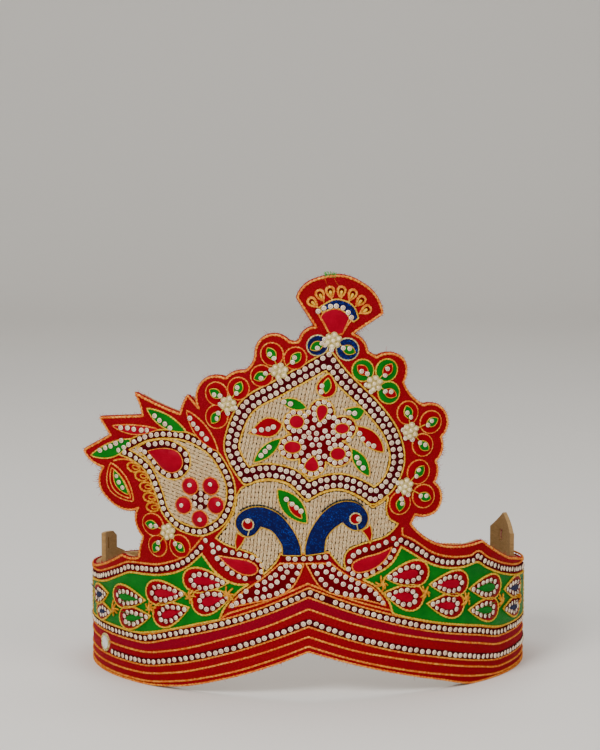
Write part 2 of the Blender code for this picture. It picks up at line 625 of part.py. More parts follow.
def plate_part(name, outlines, layer, material, crown):
    return bent_part(name, flat_mesh(outlines, layer), material, crown)


def joined_part(name, outlines, layer, material, crown):
    return bent_part(name, union_mesh(outlines, layer), material, crown)


def build_sheets(crown):
    outline = crown_outline()
    plate_part("backing_board", [outline], BOARD_LAYER, make_material("board", BOARD_BROWN), crown)
    raised = [(u, max(z, GAP)) for u, z in outline]
    plate_part("velvet_facing", [raised], VELVET_LAYER, make_material("velvet", RED_VELVET), crown)
    brown = make_material("tab", BOARD_BROWN)
    plate_part("tie_tab_right", TAB_RIGHT, TAB_LAYER, brown, crown)
    plate_part("tie_tab_left", TAB_LEFT, TAB_LAYER, brown, crown)


def build_stone_rows(crown):
    maroon = make_material("row_cloth", MAROON)
    for name, column, first_u in (("stone_row_lower", 2, LOWER_ROW_START),
                                  ("stone_row_upper", 3, -ROW_END)):
        path = [p for p in band_path(column) if first_u <= p[0] <= ROW_END]
        plate_part(name, [strip(path, HALF_ROW)], BORDER_LAYER, maroon, crown)
    for name, path in (("panel_border_left", BORDER_LEFT), ("panel_border_right", BORDER_RIGHT)):
        corner = path[-1]
        line = smooth(path, BORDER_STEP) + [(corner[0], corner[1] - 5), (corner[0], BORDER_FOOT)]
        plate_part(name, [strip(line, HALF_ROW)], BORDER_LAYER, maroon, crown)
    heart = loop(HEART_PATH, BORDER_STEP)
    ring = [offset(heart, HALF_ROW), offset(heart, -HEART_INNER)]
    plate_part("heart_border", ring, BORDER_LAYER, maroon, crown)
    paisley = loop(PAISLEY_PATH, BORDER_STEP)
    ring = [offset(paisley, HALF_ROW), offset(paisley, -HALF_ROW)]
    plate_part("paisley_border", ring, BORDER_LAYER, maroon, crown)


def build_fields(crown):
    zari = make_material("zari", PALE_ZARI)
    satin = make_material("satin", GREEN_SATIN)
    heart = offset(loop(HEART_PATH, BORDER_STEP), -HEART_INNER - GAP)
    plate_part("heart_field", [heart], FIRST_LAYER, zari, crown)
    paisley = offset(loop(PAISLEY_PATH, BORDER_STEP), -HALF_ROW - GAP)
    plate_part("paisley_field", [paisley], FIRST_LAYER, zari, crown)
    plate_part("peacock_field", [loop(PEACOCK_FIELD, BORDER_STEP)], FIRST_LAYER, zari, crown)
    plate_part("satin_panel_left", [loop(PANEL_LEFT, BAND_STEP)], FIRST_LAYER, satin, crown)
    plate_part("satin_panel_right", [loop(PANEL_RIGHT, BAND_STEP)], FIRST_LAYER, satin, crown)


def build_peacocks(crown):
    blue = make_material("sequins", SEQUIN_BLUE)
    maroon = make_material("tail_cloth", MAROON)
    magenta = make_material("wing_drop", MAGENTA)
    plate_part("peacock_neck_left", [loop(NECK_LEFT, 3.6)], SECOND_LAYER, blue, crown)
    plate_part("peacock_neck_right", [loop(NECK_RIGHT, 3.6)], SECOND_LAYER, blue, crown)
    plate_part("peacock_collar", [loop(COLLAR, 6)], FIRST_LAYER, maroon, crown)
    plate_part("peacock_tail_left", [loop(TAIL_LEFT, 4)], FIRST_LAYER, maroon, crown)
    plate_part("peacock_tail_right", [loop(TAIL_RIGHT, 4)], FIRST_LAYER, maroon, crown)
    plate_part("wing_drop_left", [loop(WING_DROP_LEFT, 3)], FIRST_LAYER, magenta, crown)
    plate_part("wing_drop_right", [loop(WING_DROP_RIGHT, 3)], FIRST_LAYER, magenta, crown)
    for name, sizes in PEACOCK_LEAVES.items():
        finish = GREEN_SATIN if name == "peacock_leaf" else LEAF_RED
        plate_part(name, [leaf(*sizes)], SECOND_LAYER, make_material(name, finish), crown)


def build_fan(crown):
    plate_part("fan_dome", [loop(FAN_DOME, 3)], FIRST_LAYER, make_material("dome", MAGENTA), crown)
    blue = make_material("crescent", SEQUIN_BLUE)
    plate_part("fan_crescent", [loop(FAN_CRESCENT, 3)], FIRST_LAYER, blue, crown)
    petals = []
    for i in range(FAN_PETALS):
        share = i / (FAN_PETALS - 1)
        degrees = FAN_FIRST_ANGLE + (FAN_LAST_ANGLE - FAN_FIRST_ANGLE) * share
        u = FAN_HUB[0] + FAN_PETAL_RADIUS * math.cos(math.radians(degrees))
        z = FAN_HUB[1] + FAN_PETAL_RADIUS * math.sin(math.radians(degrees))
        petals.append(oval(u, z, 2.5, 2.75, degrees - 90, 10))
    joined_part("fan_petals", petals, FIRST_LAYER, make_material("petal", YELLOW_THREAD), crown)


def build_flowers(crown):
    red = make_material("flower", LEAF_RED)
    for name, ovals in FLOWERS.items():
        joined_part(name, [oval(*sizes) for sizes in ovals], FIRST_LAYER, red, crown)
    magenta = make_material("drops", MAGENTA)
    drops = [oval(*sizes) for sizes in HEART_FLOWER]
    joined_part("heart_flower", drops, SECOND_LAYER, magenta, crown)
    balls = [oval(*sizes) for sizes in PAISLEY_BALLS]
    joined_part("paisley_balls", balls, SECOND_LAYER, magenta, crown)
    plate_part("paisley_drop", [loop(PAISLEY_DROP, 4)], SECOND_LAYER, magenta, crown)


def build_leaves(crown):
    maroon = make_material("leaf_cloth", MAROON)
    for name, pair in LEAF_PAIRS.items():
        outlines = [oval(u, z, length / 2, height / 2, tilt) for u, z, length, height, tilt in pair]
        joined_part(name, outlines, SECOND_LAYER, maroon, crown)
    for table, layer in ((CREST_LEAVES, FIRST_LAYER), (HEART_LEAVES, SECOND_LAYER)):
        for name, sizes in table.items():
            finish = GREEN_SATIN if "green" in name else LEAF_RED
            plate_part(name, [leaf(*sizes)], layer, make_material(name, finish), crown)
    u, z, radius = MIRROR
    glass = make_material("mirror", MIRROR_GLASS)
    plate_part("side_mirror", [oval(u, z, radius, radius)], FIRST_LAYER, glass, crown)


def main():
    empty_scene()
    crown = bpy.data.collections.new("deity_crown")
    bpy.context.scene.collection.children.link(crown)
    build_sheets(crown)
    build_stone_rows(crown)
    build_fields(crown)
    build_peacocks(crown)
    build_fan(crown)
    build_flowers(crown)
    build_leaves(crown)


main()
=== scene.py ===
# Looks of the embroidered deity crown, laid over its packed board and applique solids.
# Everything is drawn flat in millimetres, as the maker draws it: u along the band from
# the centre front, z up, t out from the velvet. It is then bent round the head.
import math
import re

import bmesh
import bpy
import numpy as np
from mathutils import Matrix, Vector, kdtree


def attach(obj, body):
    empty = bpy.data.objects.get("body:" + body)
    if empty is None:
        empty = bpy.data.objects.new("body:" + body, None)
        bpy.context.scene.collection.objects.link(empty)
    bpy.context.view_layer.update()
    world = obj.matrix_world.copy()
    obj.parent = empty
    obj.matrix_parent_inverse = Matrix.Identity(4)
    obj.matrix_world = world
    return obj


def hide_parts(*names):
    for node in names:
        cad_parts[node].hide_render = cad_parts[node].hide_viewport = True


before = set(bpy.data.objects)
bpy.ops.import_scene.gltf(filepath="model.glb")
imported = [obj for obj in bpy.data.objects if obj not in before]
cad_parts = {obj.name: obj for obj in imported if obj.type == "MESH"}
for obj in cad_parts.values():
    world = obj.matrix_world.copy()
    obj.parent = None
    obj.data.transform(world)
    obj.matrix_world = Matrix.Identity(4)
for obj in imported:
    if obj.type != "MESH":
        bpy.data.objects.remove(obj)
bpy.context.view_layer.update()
dice = np.random.default_rng(11)

crown = {
    "halfWidth": 102.0, "frontDepth": 86.0, "rearRadius": 45.0, "bandEnd": 220.0,
    "plateHalf": 45.0, "blendLow": 50.0, "blendHigh": 95.0,  # the plate straightens between these heights
    "crestU": 111.4, "fadeU": 9.3,  # behind the crest the sheet stays on the band
    "centreY": 21.8, "metre": 0.001}


# The bent sheet

def arcTable(steps=4000):
    angle = np.linspace(0, math.pi / 2, steps + 1)
    x, y = crown["halfWidth"] * np.sin(angle), -crown["frontDepth"] * np.cos(angle)
    length = np.concatenate([[0], np.cumsum(np.hypot(np.diff(x), np.diff(y)))])
    return length, angle


arcLength, arcAngle = arcTable()
quarter = arcLength[-1]
plateAngle = math.asin(crown["plateHalf"] / crown["halfWidth"])
plateU = float(np.interp(plateAngle, arcAngle, arcLength))
plateSlope = math.atan2(crown["frontDepth"] * math.sin(plateAngle),
                        crown["halfWidth"] * math.cos(plateAngle))


def bandPlan(u):
    angle = np.interp(u, arcLength, arcAngle)
    turn = np.maximum(u - quarter, 0) / crown["rearRadius"]
    x = crown["halfWidth"] * np.sin(angle) - crown["rearRadius"] * (1 - np.cos(turn))
    return x, -crown["frontDepth"] * np.cos(angle) + crown["rearRadius"] * np.sin(turn)


def platePlan(u):
    x, y = bandPlan(np.minimum(u, plateU))
    run = np.maximum(u - plateU, 0)
    return x + run * math.cos(plateSlope), y + run * math.sin(plateSlope)


def planAt(u, blend):
    bx, by = bandPlan(np.abs(u))
    px, py = platePlan(np.abs(u))
    return np.sign(u) * (bx + (px - bx) * blend), by + (py - by) * blend


def bendPoints(flat):  # rows of u, z, t in millimetres become places in metres
    u, z, t = np.asarray(flat, float).T
    share = np.clip((z - crown["blendLow"]) / (crown["blendHigh"] - crown["blendLow"]), 0, 1)
    fade = np.clip((crown["crestU"] + crown["fadeU"] - np.abs(u)) / crown["fadeU"], 0, 1)
    blend = share * share * (3 - 2 * share) * fade
    x, y = planAt(u, blend)
    x1, y1 = planAt(u + 0.5, blend)
    x0, y0 = planAt(u - 0.5, blend)
    reach = np.hypot(x1 - x0, y1 - y0)
    x = x + t * (y1 - y0) / reach
    y = y - t * (x1 - x0) / reach + crown["centreY"]
    return np.stack([x, y, z], 1) * crown["metre"]


# Flat drawing

def smoothLine(points, spacing=1.0):
    if len(points) == 2:
        a, b = np.array(points[0], float), np.array(points[1], float)
        steps = max(1, round(float(np.linalg.norm(b - a)) / spacing))
        return [tuple(a + (b - a) * k / steps) for k in range(steps + 1)]
    line = []
    for i in range(len(points) - 1):
        a, b = np.array(points[max(i - 1, 0)], float), np.array(points[i], float)
        c, d = np.array(points[i + 1], float), np.array(points[min(i + 2, len(points) - 1)], float)
        steps = max(1, round(float(np.linalg.norm(c - b)) / spacing))
        for k in range(steps):
            s = k / steps
            line.append(tuple(0.5 * (2 * b + (c - a) * s + (2 * a - 5 * b + 4 * c - d) * s * s
                                     + (3 * b - a - 3 * c + d) * s ** 3)))
    line.append(tuple(np.array(points[-1], float)))
    return line


def closedLine(stretches, spacing=1.0):  # each stretch but the first starts where the last one ended
    line, start = [], []
    for stretch in stretches:
        line += smoothLine(start + stretch, spacing)[:-1]
        start = stretch[-1:]
    return line


def arcLine(start, middle, end, spacing=1.0):  # from start up to but not onto end
    (ax, ay), (bx, by), (cx, cy) = start, middle, end
    d = 2 * (ax * (by - cy) + bx * (cy - ay) + cx * (ay - by))
    chord = math.dist(start, end)
    if abs(d) < chord:
        steps = max(1, round(chord / spacing))
        return [(ax + (cx - ax) * i / steps, ay + (cy - ay) * i / steps) for i in range(steps)]
    a2, b2, c2 = ax * ax + ay * ay, bx * bx + by * by, cx * cx + cy * cy
    ox = (a2 * (by - cy) + b2 * (cy - ay) + c2 * (ay - by)) / d
    oy = (a2 * (cx - bx) + b2 * (ax - cx) + c2 * (bx - ax)) / d
    radius = math.dist((ox, oy), start)
    first = math.atan2(ay - oy, ax - ox)
    turn = math.atan2(cy - oy, cx - ox) - first
    turn = -((-turn) % math.tau) if d < 0 else turn % math.tau
    steps = max(2, round(radius * abs(turn) / spacing))
    return [(ox + radius * math.cos(first + turn * i / steps),
             oy + radius * math.sin(first + turn * i / steps)) for i in range(steps)]


def evenLine(path, pitch, closed=False, nudge=0.0):  # points at one pitch along a path
    points = np.array(path, float)
    if closed:
        points = np.vstack([points, points[:1]])
    reach = np.concatenate([[0], np.cumsum(np.linalg.norm(np.diff(points, axis=0), axis=1))])
    count = max(2, round(reach[-1] / pitch))
    spots = (np.arange(count) + nudge) / count if closed else np.arange(count + 1) / count
    spots = spots * reach[-1]
    return np.stack([np.interp(spots, reach, points[:, k]) for k in range(points.shape[1])], 1)


def leftNormals(points, closed):
    along = np.roll(points, -1, 0) - np.roll(points, 1, 0) if closed else np.gradient(points, axis=0)
    along = along / np.maximum(np.linalg.norm(along, axis=1, keepdims=True), 1e-9)
    return np.stack([-along[:, 1], along[:, 0]], 1)


def farFrom(spots, path, closed=True):  # distance of each spot to a path
    a = np.array(path, float)
    b = np.roll(a, -1, 0)
    if not closed:
        a, b = a[:-1], b[:-1]
    d = b - a
    best = np.full(len(spots), 1e9)
    for p, q in zip(a, d):
        share = np.clip(((spots - p) @ q) / max(q @ q, 1e-9), 0, 1)
        best = np.minimum(best, np.linalg.norm(spots - p - share[:, None] * q, axis=1))
    return best


def areaOf(path):
    x, y = np.array(path, float).T
    return 0.5 * float(np.sum(x * np.roll(y, -1) - np.roll(x, -1) * y))


def shiftLeft(points, distance, closed):  # leaves out what comes nearer than the distance
    spots = points + leftNormals(points, closed) * distance
    keep = farFrom(spots, points, closed) > abs(distance) * 0.93
    return [tuple(p) for p in spots[keep]]


def moveLoop(path, distance, spacing=1.0):  # a closed path moved out, or in where negative
    points = evenLine(path, spacing, True)
    return shiftLeft(points, -distance if areaOf(points) > 0 else distance, True)


def moveLine(path, distance):  # an open path moved to its left
    return shiftLeft(evenLine(path, 1.0), distance, False)


def insideOf(spots, path):
    a = np.array(path, float)
    b = np.roll(a, -1, 0)
    inside = np.zeros(len(spots), bool)
    for (x0, y0), (x1, y1) in zip(a, b):
        if y0 == y1:
            continue
        crosses = (y0 > spots[:, 1]) != (y1 > spots[:, 1])
        inside ^= crosses & (spots[:, 0] < (x1 - x0) * (spots[:, 1] - y0) / (y1 - y0) + x0)
    return inside


def ovalLine(u, z, halfWidth, halfHeight, tilt=0.0, spacing=0.9):
    steps = max(10, round(math.tau * (halfWidth + halfHeight) / 2 / spacing))
    a = np.arange(steps) * math.tau / steps
    return turned(halfWidth * np.cos(a), halfHeight * np.sin(a), u, z, tilt)


def turned(x, y, u, z, tilt):
    c, s = math.cos(math.radians(tilt)), math.sin(math.radians(tilt))
    return [(u + p * c - q * s, z + p * s + q * c) for p, q in zip(x, y)]


def dropLine(u, z, length, height, tilt=0.0, spacing=0.9):  # a drop whose tip points along tilt
    steps = max(14, round((length + height) * 1.5 / spacing))
    a = np.arange(steps) * math.tau / steps
    y = np.sin(a) * np.abs(np.sin(a / 2)) ** 1.15
    return turned(length / 2 * np.cos(a), height / 2 * y / np.max(y), u, z, tilt)


def leafLine(u0, z0, u1, z1, left, right, belly=1.0, spacing=0.9):  # a leaf between two tips
    start, chord = np.array([u0, z0], float), np.array([u1 - u0, z1 - z0], float)
    length = float(np.linalg.norm(chord))
    side = np.array([-chord[1], chord[0]]) / length
    steps = max(6, round(length / spacing))
    line = []
    for swell in (left, -right):
        for i in range(steps):
            share = i / steps if swell == left else 1 - i / steps
            bulge = math.sin(math.pi * share ** belly) ** 0.8
            line.append(tuple(start + chord * share + side * swell * bulge))
    return line


def lobedLine(hub, ovals, steps=150):  # outline of overlapping ovals, seen from the hub
    line = []
    for k in range(steps):
        a = math.tau * k / steps
        dx, dy = math.cos(a), math.sin(a)
        far = 0.5
        for u, z, w, h in ovals:
            px, py = (hub[0] - u) / w, (hub[1] - z) / h
            qx, qy = dx / w, dy / h
            qa, qb, qc = qx * qx + qy * qy, px * qx + py * qy, px * px + py * py - 1
            root = qb * qb - qa * qc
            if root > 0:
                far = max(far, (-qb + math.sqrt(root)) / qa)
        line.append((hub[0] + dx * far, hub[1] + dy * far))
    return line


# Shader nodes

def feed(tree, item, inputs):  # each input takes another node's output, a number or a colour
    for key, value in inputs.items():
        socket = item.inputs[key]
        if isinstance(value, bpy.types.NodeSocket):
            tree.links.new(value, socket)
        else:
            socket.default_value = (*value, 1) if socket.type == "RGBA" else value
    return item


def addNode(tree, kind, inputs, **settings):
    item = tree.nodes.new(kind)
    for key, value in settings.items():
        setattr(item, key, value)
    return feed(tree, item, inputs)


def maths(tree, operation, first, second):
    return addNode(tree, "ShaderNodeMath", {0: first, 1: second}, operation=operation).outputs[0]


def scaled(tree, value, factor):
    return maths(tree, "MULTIPLY", value, factor)


def noise(tree, place, scale, detail=2.0, roughness=0.5, distortion=0.0):
    inputs = {"Vector": place, "Scale": scale, "Detail": detail, "Roughness": roughness,
              "Distortion": distortion}
    return addNode(tree, "ShaderNodeTexNoise", inputs).outputs["Fac"]


def between(tree, value, low, high):  # 0 at the low value, 1 at the high one
    inputs = {"Value": value, "From Min": low, "From Max": high}
    return addNode(tree, "ShaderNodeMapRange", inputs).outputs["Result"]


def stretched(tree, place, scale):
    return addNode(tree, "ShaderNodeMapping", {"Vector": place, "Scale": scale}).outputs["Vector"]


def spotOf(tree, kind):
    return addNode(tree, "ShaderNodeTexCoord", {}).outputs[kind]


def mixColours(tree, factor, first, second):
    return addNode(tree, "ShaderNodeMix", {0: factor, 6: first, 7: second}, data_type="RGBA").outputs[2]


def cellColours(tree, scale):  # red, green and blue of small random cells
    cells = addNode(tree, "ShaderNodeTexVoronoi", {"Vector": spotOf(tree, "Object"), "Scale": scale})
    return addNode(tree, "ShaderNodeSeparateColor", {"Color": cells.outputs["Color"]}).outputs


def ramp(tree, factor, stops):  # plain bands of colour
    item = addNode(tree, "ShaderNodeValToRGB", {"Fac": factor})
    item.color_ramp.interpolation = "CONSTANT"
    while len(item.color_ramp.elements) < len(stops):
        item.color_ramp.elements.new(0.5)
    for element, (place, colour) in zip(item.color_ramp.elements, stops):
        element.position = place
        element.color = (*colour, 1)
    return item.outputs["Color"]


def raiseBump(tree, shader, height, strength, distance):
    inputs = {"Strength": strength, "Distance": distance, "Height": height}
    feed(tree, shader, {"Normal": addNode(tree, "ShaderNodeBump", inputs).outputs["Normal"]})


# Shared shader groups

def startGroup(name, label, value, results):  # takes a place and one number
    group = bpy.data.node_groups.new(name, "ShaderNodeTree")
    group.interface.new_socket("Vector", in_out="INPUT", socket_type="NodeSocketVector")
    number = group.interface.new_socket(label, in_out="INPUT", socket_type="NodeSocketFloat")
    number.default_value = value
    for result in results:
        group.interface.new_socket(result, in_out="OUTPUT", socket_type="NodeSocketFloat")
    start, end = group.nodes.new("NodeGroupInput"), group.nodes.new("NodeGroupOutput")
    return group, start.outputs["Vector"], start.outputs[label], end


def pileGroup():  # short velvet pile: fibre height, the lay that places painted sheen, and the fibre ends that take painted highlights
    group, place, scale, end = startGroup("velvetPile", "Scale", 1.0, ("Height", "SheenLay", "TipHighlight"))
    fine = noise(group, place, scaled(group, scale, 2600.0), 4.0, 0.65)
    broad = noise(group, place, scaled(group, scale, 55.0), 3.0, distortion=0.6)
    feed(group, end, {"Height": fine, "SheenLay": between(group, broad, 0.38, 0.66),
                      "TipHighlight": between(group, fine, 0.52, 0.72)})
    return group


def clothGroup():  # threads of a woven cloth on the flat pattern, and streaks along them
    group, place, threads, end = startGroup("clothThreads", "Threads", 30.0, ("Height", "Streak", "Crease"))
    heights = []
    for direction, share, weight in (("X", 1.0, 0.7), ("Y", 0.45, 0.3)):
        inputs = {"Vector": place, "Scale": scaled(group, threads, share), "Distortion": 0.8,
                  "Detail Scale": 1.5}
        wave = addNode(group, "ShaderNodeTexWave", inputs, wave_type="BANDS", bands_direction=direction)
        heights.append(scaled(group, wave.outputs["Fac"], weight))
    feed(group, end, {"Height": maths(group, "ADD", *heights),
                      "Streak": noise(group, stretched(group, place, (1.0, 7.0, 1.0)), 2.4, 4.0),
                      "Crease": noise(group, place, 1.6)})
    return group


def threadGroup():  # broken glints and dull spots of metal thread
    group, place, scale, end = startGroup("metalThread", "Scale", 1.0, ("Glint", "Dull"))
    fine = noise(group, place, scaled(group, scale, 900.0), 3.0)
    feed(group, end, {"Glint": between(group, fine, 0.42, 0.62),
                      "Dull": noise(group, place, scaled(group, scale, 160.0))})
    return group


shaderGroups = {"pile": pileGroup(), "cloth": clothGroup(), "thread": threadGroup()}


# Finishes

def startFinish(name, shine):  # shine holds the constant values of the Principled shader
    material = bpy.data.materials.new(name)
    material.use_nodes = True
    tree = material.node_tree
    return material, tree, feed(tree, tree.nodes["Principled BSDF"], shine)


def useGroup(tree, key, kind, **values):
    inputs = {"Vector": spotOf(tree, kind), **values}
    return addNode(tree, "ShaderNodeGroup", inputs, node_tree=shaderGroups[key]).outputs


# Velvet colours: red is the pile's own colour; magenta is painted sheen, deep is painted shade low between the
# fibres, and the last is a painted highlight on the fibre ends.
velvetLook = {"deep": (0.09, 0.0, 0.001), "red": (0.35, 0.0, 0.008),
              "magenta": (0.31, 0.0, 0.018), "tips": (0.52, 0.006, 0.020)}
# Bands across the velvet, from the lower rim up to the upper stone row: red is the pile's own colour, the
# magenta bands are painted sheen.
velvetSheenStripes = [(0.0, "red"), (0.09, "red"), (0.27, "red"), (0.43, "magenta"),
                 (0.52, "red"), (0.72, "magenta"), (0.90, "red"), (1.0, "red")]


def velvetFinish():
    shine = {"Roughness": 0.9, "Sheen Weight": 0.22, "Sheen Roughness": 0.35,
             "Sheen Tint": (1.0, 0.06, 0.10), "Specular IOR Level": 0.12}
    material, tree, shader = startFinish("redVelvet", shine)
    pile = useGroup(tree, "pile", "Object")
    rows = addNode(tree, "ShaderNodeUVMap", {}, uv_map="bandRows").outputs["UV"]
    height = addNode(tree, "ShaderNodeSeparateXYZ", {"Vector": rows}).outputs["Y"]
    sheenBands = ramp(tree, height, [(place, velvetLook[name]) for place, name in velvetSheenStripes])
    # painted sheen: the pile turns magenta where it lies towards the light
    laySheen = mixColours(tree, pile["SheenLay"], sheenBands, velvetLook["magenta"])
    blended = mixColours(tree, scaled(tree, pile["SheenLay"], 0.35), sheenBands, laySheen)
    # painted shade low in the pile, then painted highlights on the fibre ends
    dark = mixColours(tree, maths(tree, "SUBTRACT", 1.0, pile["Height"]), blended, velvetLook["deep"])
    lit = mixColours(tree, scaled(tree, pile["TipHighlight"], 0.4), dark, velvetLook["tips"])
    feed(tree, shader, {"Base Color": lit})
    raiseBump(tree, shader, pile["Height"], 0.6, 0.0004)
    return material


def satinFinish(name, deep, bright, threads=26.0, rough=0.42, bump=0.25):
    tint = [0.3 + 0.7 * part / max(bright) for part in bright]
    material, tree, shader = startFinish(name, {"Specular IOR Level": 0.10, "Specular Tint": tint})
    cloth = useGroup(tree, "cloth", "UV", Threads=threads)
    # deep and bright are shaded and lit copies of one cloth colour: creases and streaks paint shade, the raised
    # threads paint highlights
    creaseShading = mixColours(tree, cloth["Crease"], deep, bright)
    streakShading = mixColours(tree, scaled(tree, cloth["Streak"], 0.5), creaseShading, deep)
    threadHighlights = mixColours(tree, scaled(tree, cloth["Height"], 0.35), streakShading, bright)
    roughness = maths(tree, "ADD", scaled(tree, cloth["Streak"], 0.25), rough - 0.1)
    feed(tree, shader, {"Base Color": threadHighlights, "Roughness": roughness})
    height = maths(tree, "ADD", cloth["Height"], scaled(tree, cloth["Crease"], 2.5))
    raiseBump(tree, shader, height, bump, 0.0003)
    return material


def threadFinish(name, deep, bright, metal=0.15, rough=0.42, scale=1.0):
    material, tree, shader = startFinish(name, {"Metallic": metal, "Specular IOR Level": 0.25})
    thread = useGroup(tree, "thread", "Object", Scale=scale)
    colour = mixColours(tree, thread["Glint"], deep, bright)
    dulled = mixColours(tree, scaled(tree, thread["Dull"], 0.3), colour, deep)
    roughness = maths(tree, "SUBTRACT", rough + 0.12, scaled(tree, thread["Glint"], 0.22))
    feed(tree, shader, {"Base Color": dulled, "Roughness": roughness})
    raiseBump(tree, shader, thread["Glint"], 0.35, 0.0002)
    return material


glitterLook = {"deep": (0.0002, 0.0010, 0.030), "bright": (0.0004, 0.0022, 0.066),
               "flake": (0.010, 0.05, 0.42)}


def glitterFinish():  # royal blue cloth with fine glitter
    material, tree, shader = startFinish("blueGlitterCloth", {"Specular IOR Level": 0.1})
    cloth = useGroup(tree, "cloth", "UV", Threads=34.0)
    chosen = cellColours(tree, 3400.0)
    flake = maths(tree, "GREATER_THAN", chosen["Red"], 0.91)
    # painted sheen: the ground runs between shaded and lit copies of the blue along the streaks
    ground = mixColours(tree, cloth["Streak"], glitterLook["deep"], glitterLook["bright"])
    feed(tree, shader, {"Base Color": mixColours(tree, flake, ground, glitterLook["flake"]),
                        "Roughness": maths(tree, "SUBTRACT", 0.62, scaled(tree, flake, 0.40)),
                        "Metallic": scaled(tree, flake, 0.6)})
    raiseBump(tree, shader, chosen["Green"], 0.5, 0.0002)
    return material


boardLook = {"deep": (0.24, 0.13, 0.045), "pale": (0.60, 0.37, 0.15), "stain": (0.30, 0.17, 0.065)}


def boardFinish():
    material, tree, shader = startFinish("kraftBoard", {"Specular IOR Level": 0.2})
    place = spotOf(tree, "Object")
    fibre = noise(tree, stretched(tree, place, (1.0, 1.0, 3.2)), 420.0, 6.0)
    stain = scaled(tree, noise(tree, place, 34.0, 3.0), 0.45)
    base = mixColours(tree, fibre, boardLook["deep"], boardLook["pale"])
    feed(tree, shader, {"Base Color": mixColours(tree, stain, base, boardLook["stain"]),
                        "Roughness": maths(tree, "ADD", scaled(tree, fibre, 0.2), 0.72)})
    raiseBump(tree, shader, fibre, 0.5, 0.0004)
    return material


def glassFinish(name, bright, shade, rough, metal=0.0):  # foil-backed stones and beads
    shine = {"Specular IOR Level": 0.6, "Coat Weight": 0.35, "Coat Roughness": 0.06, "Metallic": metal}
    material, tree, shader = startFinish(name, shine)
    chosen = cellColours(tree, 330.0)
    feed(tree, shader, {"Base Color": mixColours(tree, chosen["Red"], shade, bright),
                        "Roughness": maths(tree, "ADD", scaled(tree, chosen["Green"], 0.12), rough)})
    return material


finishes = {
    "velvet": velvetFinish(),
    "board": boardFinish(),
    "orangeCord": threadFinish("orangeGoldCord", (0.66, 0.12, 0.006), (1.0, 0.44, 0.05)),
    "yellowCord": threadFinish("yellowGoldCord", (0.62, 0.30, 0.010), (1.0, 0.64, 0.06)),
    "paleCord": threadFinish("paleGoldCord", (0.45, 0.34, 0.10), (0.90, 0.78, 0.36)),
    "zari": threadFinish("paleZariThread", (0.71, 0.46, 0.23), (0.99, 0.80, 0.48), 0.0, 0.5, 1.4),
    # the zari's ground cloth is near black as painted shade in the gaps between the couched threads
    "zariGround": satinFinish("zariGroundPaintedShade", (0.015, 0.006, 0.004), (0.06, 0.022, 0.010)),
    # the strips under the stones are near black as painted shade of the velvet round the stones
    "channel": satinFinish("channelPaintedShade", (0.020, 0.0, 0.001), (0.090, 0.001, 0.005), 30.0, 0.8),
    "maroon": satinFinish("maroonCloth", (0.050, 0.0, 0.001), (0.17, 0.0, 0.005), 30.0, 0.7),
    "green": satinFinish("greenSatin", (0.0, 0.05, 0.003), (0.002, 0.22, 0.012)),
    "magenta": satinFinish("magentaSatin", (0.14, 0.0, 0.006), (0.44, 0.0, 0.020), 30.0, 0.36, 0.12),
    "red": satinFinish("redSatin", (0.13, 0.0, 0.002), (0.37, 0.0, 0.010)),
    "darkBlue": satinFinish("darkBlueSatin", (0.0005, 0.002, 0.016), (0.001, 0.005, 0.065)),
    "glitter": glitterFinish(),
    "stone": glassFinish("foiledStone", (0.98, 0.84, 0.58), (0.82, 0.56, 0.38), 0.10),
    # painted reflection ring on each stone's table, and painted shade on the seat rim round its foot
    "stoneRing": glassFinish("stoneRing", (0.42, 0.26, 0.20), (0.26, 0.15, 0.11), 0.15),
    "stoneSeat": glassFinish("stoneSeat", (0.060, 0.004, 0.006), (0.030, 0.002, 0.003), 0.6),
    "paleBead": glassFinish("paleGoldBead", (0.98, 0.82, 0.48), (0.74, 0.54, 0.28), 0.12, 0.2),
    "mirror": glassFinish("mirrorDrop", (0.90, 0.92, 0.88), (0.70, 0.74, 0.68), 0.05, 0.7),
    "knot": threadFinish("orangeYellowKnot", (0.52, 0.16, 0.002), (0.92, 0.42, 0.006), 0.05, 0.55),
    "blackThread": threadFinish("blackThread", (0.006, 0.006, 0.008), (0.03, 0.035, 0.03), 0.0, 0.6),
    "greenThread": threadFinish("greenThread", (0.02, 0.20, 0.02), (0.18, 0.55, 0.10), 0.0, 0.6),
    "pinkThread": threadFinish("pinkThread", (0.40, 0.10, 0.10), (0.75, 0.32, 0.28), 0.0, 0.7),
    "redThread": threadFinish("redThread", (0.30, 0.0, 0.01), (0.62, 0.01, 0.04), 0.0, 0.8),
}
print("finishes ready:", len(finishes))


# Making pieces

def startPiece(name):
    return {"name": name, "mesh": bmesh.new(), "finishes": []}


def finishIndex(piece, key):
    if key not in piece["finishes"]:
        piece["finishes"].append(key)
    return piece["finishes"].index(key)


def mergeInto(piece, part, key):
    index = finishIndex(piece, key)
    for face in part.faces:
        face.material_index = index
    carrier = bpy.data.meshes.new("carrier")
    part.to_mesh(carrier)
    piece["mesh"].from_mesh(carrier)
    bpy.data.meshes.remove(carrier)
    part.free()


def gridCuts(part, cellU, cellZ):  # cuts the faces into cells that can bend
    for axis, cell in ((0, cellU), (1, cellZ)):
        if cell:
            spots = [v.co[axis] for v in part.verts]
            for k in range(math.ceil(min(spots) / cell), math.floor(max(spots) / cell) + 1):
                place, normal = [0, 0, 0], [0, 0, 0]
                place[axis], normal[axis] = k * cell, 1
                everything = part.verts[:] + part.edges[:] + part.faces[:]
                bmesh.ops.bisect_plane(part, geom=everything, dist=0.02, plane_co=place, plane_no=normal)


